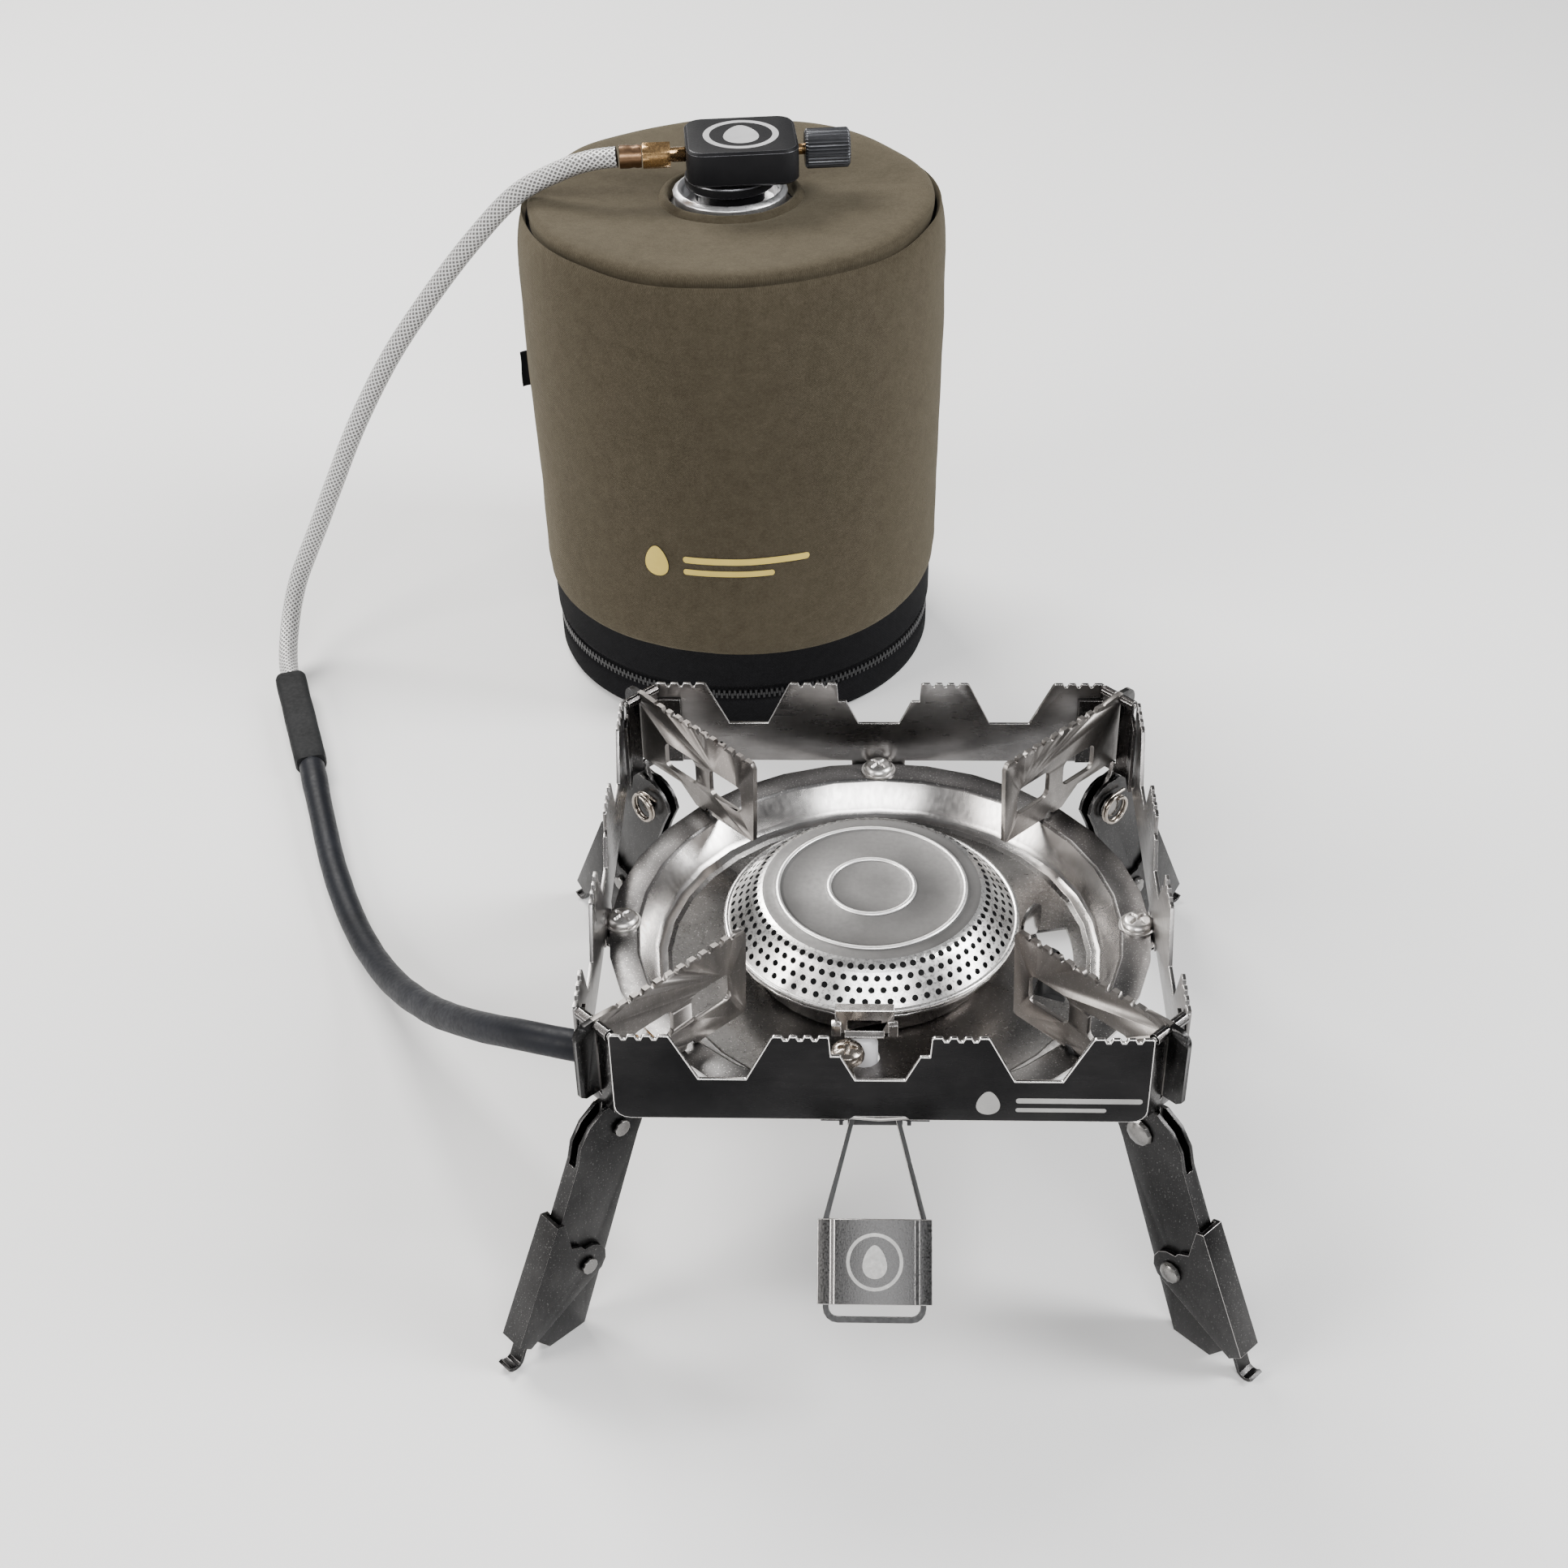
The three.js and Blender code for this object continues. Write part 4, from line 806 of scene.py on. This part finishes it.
def marks():
    def on_cover(x, y):
        z = COVER_MARK_HEIGHT + y
        a = -math.pi / 2 + (x - 1.5) / 58.9
        return around(CAN, wall_radius(z) + softness(a, z) + COVER_MARK_LIFT, a, z)

    shapes = [drop(-19.5, 0, 9.6), bar(-11.5, 24, 0.8, 2.8, 0.9), bar(-11.5, 14, -3, -1.2, 0.8)]
    mark("cover_mark", shapes, on_cover, MAT["print"], "root")
    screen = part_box("windscreen_front")[0]

    def on_screen(x, y):
        return Vector((AXIS.x + x * MM, screen.y - SCREEN_PRINT, y * MM))

    shapes = [drop(21.5, 62.6, 6.4), bar(27, 52, 62.6, 64, 0.6), bar(27, 45, 60.2, 61.3, 0.5)]
    mark("screen_mark", shapes, on_screen, MAT["etched"], "root")
    low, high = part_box("valve_body")
    middle = (low + high) / 2
    middle.z = high.z + BLOCK_PRINT
    right, back = level(VALVE_TURN)

    def on_block(x, y):
        return middle + (right * x + back * y) * MM

    mark("block_mark", [drop(0, 0, 13)], on_block, MAT["block_print"], "root",
         ring=(circle(10.3), circle(8.6)))

    # the handle plate's mark lies on its largest face that looks up
    faces = [f for f in NODES["handle_plate"].data.polygons if f.normal.z > 0.3]
    way = max(faces, key=lambda f: f.area).normal.copy()
    flat = [f for f in faces if f.normal.dot(way) > 0.999]
    top = max(f.center.dot(way) for f in flat)
    flat = [f for f in flat if f.center.dot(way) > top - 0.2 * MM]
    centre = sum((f.center * f.area for f in flat), Vector()) / sum(f.area for f in flat)
    across = Vector((1, 0, 0))
    along = way.cross(across)

    def on_plate(x, y):
        return centre + (across * x + along * y) * MM + way * PLATE_PRINT

    mark("plate_mark", [drop(0, 0, 6.6)], on_plate, MAT["etched"], "handle",
         ring=(circle(5.7), circle(5.0)))


# ---------- the burner ----------
# profiles are radius and height in mm
BURNER_TOP = [(24.0, 67.6), (23.1, 67.7), (21.8, 67.7), (21.3, 67.84), (20.85, 68.08), (20.25, 68.08),
              (19.8, 67.84), (19.3, 67.7), (15, 67.68), (10.4, 67.7), (9.95, 67.82), (9.6, 68.02),
              (9.1, 68.02), (8.75, 67.82), (8.3, 67.7), (4, 67.7), (0.001, 67.7)]
BURNER_CONE = [(24.0, 67.6), (25.0, 67.25), (25.9, 66.65), (26.7, 65.9), (31.7, 60.4)]
BURNER_RIM = [(31.66, 60.44), (31.8, 60.5), (32.1, 60.6), (32.5, 60.5), (32.7, 60.1), (32.7, 59.7),
              (32.5, 59.3), (32, 59.1), (31.5, 59.1), (30.8, 59.3)]
BEAD_SECTION = [(0.62, 67.7), (0.5, 68.0), (0.2, 68.2), (-0.2, 68.2), (-0.5, 68.0), (-0.62, 67.7)]
BEAD_RADII = (9.4, 20.6)
BURNER_SEGMENTS, CONE_SEGMENTS, LINER_SEGMENTS = 128, 168, 96
HOLES_ROUND, HOLE_ROWS, HOLE_STEPS, HOLE_RADIUS, HOLE_DEPTH = 72, 4, 16, 0.7, 0.55
HOLES_START, HOLES_END = 0.055, 0.972  # shares of the cone's slant
LINER_START, LINER_END, LINER_DEPTH = 0.05, 0.98, 1.2


class Cone:
    """The cone's surface: a point for an angle, a share of the slant and a depth in mm."""

    def __init__(self, centre):
        self.centre = centre
        self.run = [0]
        for (r0, z0), (r1, z1) in zip(BURNER_CONE, BURNER_CONE[1:]):
            self.run.append(self.run[-1] + math.hypot(r1 - r0, z1 - z0))
        self.slant = self.run[-1]

    def point(self, a, t, depth=0.0):
        run = self.run
        i = max(k for k in range(len(BURNER_CONE) - 1) if run[k] <= t * self.slant + 1e-6)
        length = run[i + 1] - run[i]
        share = (t * self.slant - run[i]) / length
        (r0, z0), (r1, z1) = BURNER_CONE[i : i + 2]
        r = r0 + (r1 - r0) * share - depth * (z0 - z1) / length
        z = z0 + (z1 - z0) * share - depth * (r1 - r0) / length
        return around(self.centre, r, a, z)

    def band(self, start, end, segments, first, depth=0.0):
        """Verts and faces of a plain strip between two shares of the slant; first is its first vert."""
        verts = [self.point(TURN * k / segments, t, depth) for t in (start, end) for k in range(segments)]
        return verts, flipped(grid(2, segments, start=first))


def perforated_cone(centre):
    """The cone with its rows of round holes, each in a tile of its own, and a dark liner behind them; the
    liner and the hole walls are painted shade.
    """
    cone = Cone(centre)
    verts, faces, indices = [], [], []
    tile_width = TURN / HOLES_ROUND
    tile_height = (HOLES_END - HOLES_START) / HOLE_ROWS
    (top_radius, _), (foot_radius, _) = BURNER_CONE[0], BURNER_CONE[-1]
    turns = [TURN * s / HOLE_STEPS for s in range(HOLE_STEPS)]
    for row in range(HOLE_ROWS):
        t = HOLES_START + tile_height * (row + 0.5)
        hole_width = HOLE_RADIUS / (top_radius + (foot_radius - top_radius) * t)
        hole_height = HOLE_RADIUS / cone.slant
        for k in range(HOLES_ROUND):
            a = (k + (row % 2) / 2) * tile_width
            base = len(verts)
            for turn in turns:
                c, s = math.cos(turn), math.sin(turn)
                edge = max(abs(c), abs(s))
                verts.append(cone.point(a + c / edge * tile_width / 2, t + s / edge * tile_height / 2))
            for depth in (0.0, HOLE_DEPTH):
                verts += [cone.point(a + math.cos(turn) * hole_width, t + math.sin(turn) * hole_height, depth)
                          for turn in turns]
            faces += flipped(grid(3, HOLE_STEPS, start=base))
            # the hole walls take the painted shade
            indices += [0] * HOLE_STEPS + [1] * HOLE_STEPS
    for start, end in ((0, HOLES_START), (HOLES_END, 1)):
        strip, strip_faces = cone.band(start, end, CONE_SEGMENTS, len(verts))
        verts += strip
        faces += strip_faces
        indices += [0] * CONE_SEGMENTS
    # the liner is a dark sheet that stands in for the shade inside the burner
    liner, liner_faces = cone.band(LINER_START, LINER_END, LINER_SEGMENTS, len(verts), LINER_DEPTH)
    verts += liner
    faces += liner_faces
    indices += [1] * LINER_SEGMENTS
    return piece("burner_cone", verts, faces, [MAT["burner_side"], MAT["hole_shade"]], indices, smooth=False)


def burner():
    """The top with its two raised rings, the perforated cone, its rolled rim and the two bright beads."""
    centre = upright_axis("burner_head")

    def turned(name, profile, material, sharp):
        return piece(name, *lathe(profile, centre, BURNER_SEGMENTS), [MAT[material]], sharp=sharp)

    top = turned("burner_top", BURNER_TOP, "burner_top", 50)
    cone = perforated_cone(centre)
    rim = turned("burner_rim", BURNER_RIM, "burner_side", 60)
    pieces = [top, cone, rim]
    for r in BEAD_RADII:
        section = [(r + dr, z) for dr, z in BEAD_SECTION]
        pieces.append(turned("burner_bead_%d" % r, section, "bead", 70))
    for obj in pieces:
        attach(obj, "root")
    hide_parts("burner_head")


# ---------- screws, springs and the knob ----------
SCREW_SIDE = [(3.5, 0), (3.6, 0.5), (3.45, 1.15), (2.9, 1.75)]
SCREW_DOME = [(2.6 - 0.17 * k, 1.92 + 0.36 * math.sin(k / 15 * 1.5)) for k in range(16)]
WASHER = [(4.1, 0), (4.1, 0.45), (3.4, 0.5)]
WASHER_DROP = 0.05
CROSS_HALF_WIDTH, CROSS_REACH, CROSS_ABOVE, CROSS_DEPTH = 0.5, 2.2, 1.2, 1.0
FLANGE_SCREW_RADIUS, FLANGE_TOP = 57.1, 56.95


def screw(name, place):
    """A pan-head cross screw and its washer, standing on the flange."""
    verts, faces = lathe(SCREW_SIDE + SCREW_DOME, place, 96)
    head = piece(name, verts, faces, [MAT["nickel"]], sharp=60)
    bm = bmesh.new()
    bm.from_mesh(head.data)
    for v in bm.verts:
        d = (v.co - place) / MM
        in_cross = min(abs(d.x + d.y), abs(d.x - d.y)) < CROSS_HALF_WIDTH
        if in_cross and d.z > CROSS_ABOVE and math.hypot(d.x, d.y) < CROSS_REACH:
            v.co.z -= CROSS_DEPTH * MM
    bm.to_mesh(head.data)
    bm.free()
    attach(head, "root")
    verts, faces = lathe(WASHER, place - Vector((0, 0, WASHER_DROP * MM)), 40)
    washer = piece(name + "_washer", verts, faces, [MAT["nickel"]], sharp=30)
    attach(washer, "root")


SPRING_TURNS, SPRING_WIRE, SPRING_STEPS = 2.0, 0.42, 22
# how far out from the burner's axis and how high the springs' rivets are, in mm
LEG_RIVET_OUT, LEG_RIVET_HEIGHT = 77, 49.5
SHOE_RIVET_OUT, SHOE_RIVET_HEIGHT = 89.3, 18


def coil(name, centre, axis, body, start, radius, pitch, arm):
    """A torsion spring's coil with one straight end; start is the way from the axis to where it begins."""
    x = (start - axis * start.dot(axis)).normalized()
    y = axis.cross(x)
    points = [centre + (x * radius + y * (-arm * (1 - k / 5))) * MM for k in range(5)]
    steps = int(SPRING_TURNS * SPRING_STEPS)
    for k in range(steps + 1):
        a = TURN * SPRING_TURNS * k / steps
        rise = pitch * SPRING_TURNS * k / steps
        points.append(centre + ((x * math.cos(a) + y * math.sin(a)) * radius + axis * rise) * MM)
    verts, faces, _ = sweep(points, lambda t: SPRING_WIRE * MM, 8)
    obj = piece(name, verts, faces, [MAT["dark_nickel"]], sharp=60)
    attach(obj, body)


def springs():
    for corner, degrees in CORNERS:
        out, across = level(math.radians(degrees))
        side = across * (1 if corner in ("fr", "bl") else -1)
        hinge = AXIS + (out * LEG_RIVET_OUT + Vector((0, 0, LEG_RIVET_HEIGHT))) * MM
        coil("leg_spring_" + corner, hinge + side * 2.9 * MM, side, "root", Vector((0, 0, 1)),
             radius=3.5, pitch=0.85, arm=4)
        foot = AXIS + (out * SHOE_RIVET_OUT + Vector((0, 0, SHOE_RIVET_HEIGHT))) * MM
        coil("shoe_spring_" + corner, foot + side * 4.6 * MM, side, "leg_body_" + corner, out,
             radius=3.0, pitch=0.95, arm=3)


KNOB_LENGTH, KNOB_RADIUS, KNOB_FLUTES, KNOB_FLUTE_DEPTH, POINTS_PER_FLUTE = 12.2, 5.3, 34, 0.34, 6
KNOB_HALF = KNOB_LENGTH / 2
# place along the knob, how much smaller its radius is there, and the share of the flutes' depth
KNOB_SECTIONS = [(-KNOB_HALF, 0.75, 0.2), (-KNOB_HALF + 0.5, 0.1, 1), (-KNOB_HALF + 0.8, 0, 1),
                 (KNOB_HALF - 0.8, 0, 1), (KNOB_HALF - 0.5, 0.1, 1), (KNOB_HALF, 0.75, 0.2)]


def knob():
    low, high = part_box("control_knob")
    centre = (low + high) / 2
    along, side = level(VALVE_TURN)
    up = Vector((0, 0, 1))
    count = KNOB_FLUTES * POINTS_PER_FLUTE
    verts = []
    for x, shrink, depth in KNOB_SECTIONS:
        for k in range(count):
            a = TURN * k / count
            flute = KNOB_FLUTE_DEPTH * max(0, math.cos(KNOB_FLUTES * a)) ** 0.7
            r = KNOB_RADIUS - shrink - flute * depth
            verts.append(centre + (along * x + side * r * math.cos(a) + up * r * math.sin(a)) * MM)
    last = (len(KNOB_SECTIONS) - 1) * count
    faces = grid(len(KNOB_SECTIONS), count)
    faces += [tuple(reversed(range(count))), tuple(range(last, last + count))]
    obj = piece("fluted_knob", verts, faces, [MAT["knob"]], sharp=40)
    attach(obj, "knob")
    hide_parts("control_knob")


# ---------- the pieces that keep their CAD shape ----------
# for a node, or for all nodes whose names start so: material, edge material (a painted highlight on the
# bevels), bevel in mm, bevel segments
LOOK = {
    "drip_bowl": ("bowl", None, 0.25, 2),
    "burner_bowl": ("bowl", None, 0.12, 1),
    "burner_clip": ("steel", "edge", 0.12, 1),
    "electrode": ("ceramic", None, 0.3, 2),
    "electrode_screw": ("dark_nickel", None, 0.15, 1),
    "mixing_tube": ("brass", None, 0.12, 1),
    "jet_holder": ("brass", None, 0.2, 1),
    "fuel_pipe": ("steel", None, 0, 1),
    "inlet_fitting": ("brass", None, 0.2, 1),
    "igniter_body": ("plastic", None, 0.4, 2),
    "ignition_lead": ("rubber", None, 0, 1),
    "windscreen_": ("screen", "edge", 0.2, 2),
    "corner_plate_": ("corner", "edge", 0.15, 1),
    "support_pin_": ("nickel", None, 0.1, 1),
    "pot_support_": ("blade", "edge", 0.2, 2),
    "leg_": ("leg", "soft_edge_highlight", 0.16, 2),
    "leg_rivet_": ("rivet", None, 0.2, 2),
    "shoe_": ("leg", "soft_edge_highlight", 0.16, 2),
    "shoe_rivet_": ("rivet", None, 0.2, 2),
    "handle_bracket": ("loop", None, 0.12, 1),
    "handle_loop": ("loop", "soft_edge_highlight", 0.09, 1),
    "handle_plate": ("plate", "soft_edge_highlight", 0.13, 1),
    "handle_pin": ("loop", None, 0.12, 1),
    "gas_canister": ("canister", None, 0.3, 2),
    "zip_slider": ("teeth", None, 0.3, 2),
    "valve_body": ("black", "black_edge_highlight", 0.5, 2),
    "valve_collar": ("black", "black_edge_highlight", 0.25, 1),
    "valve_spindle": ("brass", None, 0.1, 1),
    "hose_nut": ("brass", None, 0.25, 1),
    "hose_ferrule": ("brown_brass", None, 0.1, 1),
}
FLANGE_ABOVE, FLOOR_BELOW = 55.9, 49.2  # heights in the drip bowl, mm
FIN_START = 80.4  # the fins of the pot supports outside the hinges are dark, like the legs; mm from the axis
ZONES = {
    # the drip bowl's flange and floor take the darker copies of its steel, painted shade
    "drip_bowl": [("flange", lambda p, n: p.z > FLANGE_ABOVE and abs(n.z) > 0.6),
                  ("floor", lambda p, n: p.z < FLOOR_BELOW)],
    "windscreen_front": [("screen_out", lambda p, n: n.y < -0.5)],
    "windscreen_back": [("screen_out", lambda p, n: n.y > 0.5)],
    "windscreen_left": [("screen_out", lambda p, n: n.x < -0.5)],
    "windscreen_right": [("screen_out", lambda p, n: n.x > 0.5)],
}
CUTS = {}
for corner, degrees in CORNERS:
    out, _ = level(math.radians(degrees))
    CUTS["pot_support_" + corner] = [(AXIS + out * FIN_START * MM, out)]
    ZONES["pot_support_" + corner] = [("leg", lambda p, n: math.hypot(p.x, p.y) > FIN_START)]
REPLACED = {"hose_braid", "hose_sleeve", "hose_tag", "canister_cover", "burner_head", "control_knob"}
BODY_OF = {node: body for body, nodes in frame["record"]["behaviour"]["bodies"].items() for node in nodes}
SLOT_OF = {s["node"]: s["material_slot"] for s in frame["record"]["subparts"]}

camera()
studio()
hose_run = hose()
cover()
zip_teeth()
side_label()
marks()
burner()
knob()
springs()
for node in sorted(NODES):
    if node not in REPLACED:
        look = max((start for start in LOOK if node.startswith(start)), key=len)
        zones, cuts = ZONES.get(node, ()), CUTS.get(node, ())
        dress(node, BODY_OF[node], SLOT_OF[node], *LOOK[look], zones=zones, cuts=cuts)
for side, x, y in (("back", 0, 1), ("left", -1, 0), ("right", 1, 0)):
    place = at(x * FLANGE_SCREW_RADIUS, y * FLANGE_SCREW_RADIUS, FLANGE_TOP)
    screw("panel_screw_" + side, place)
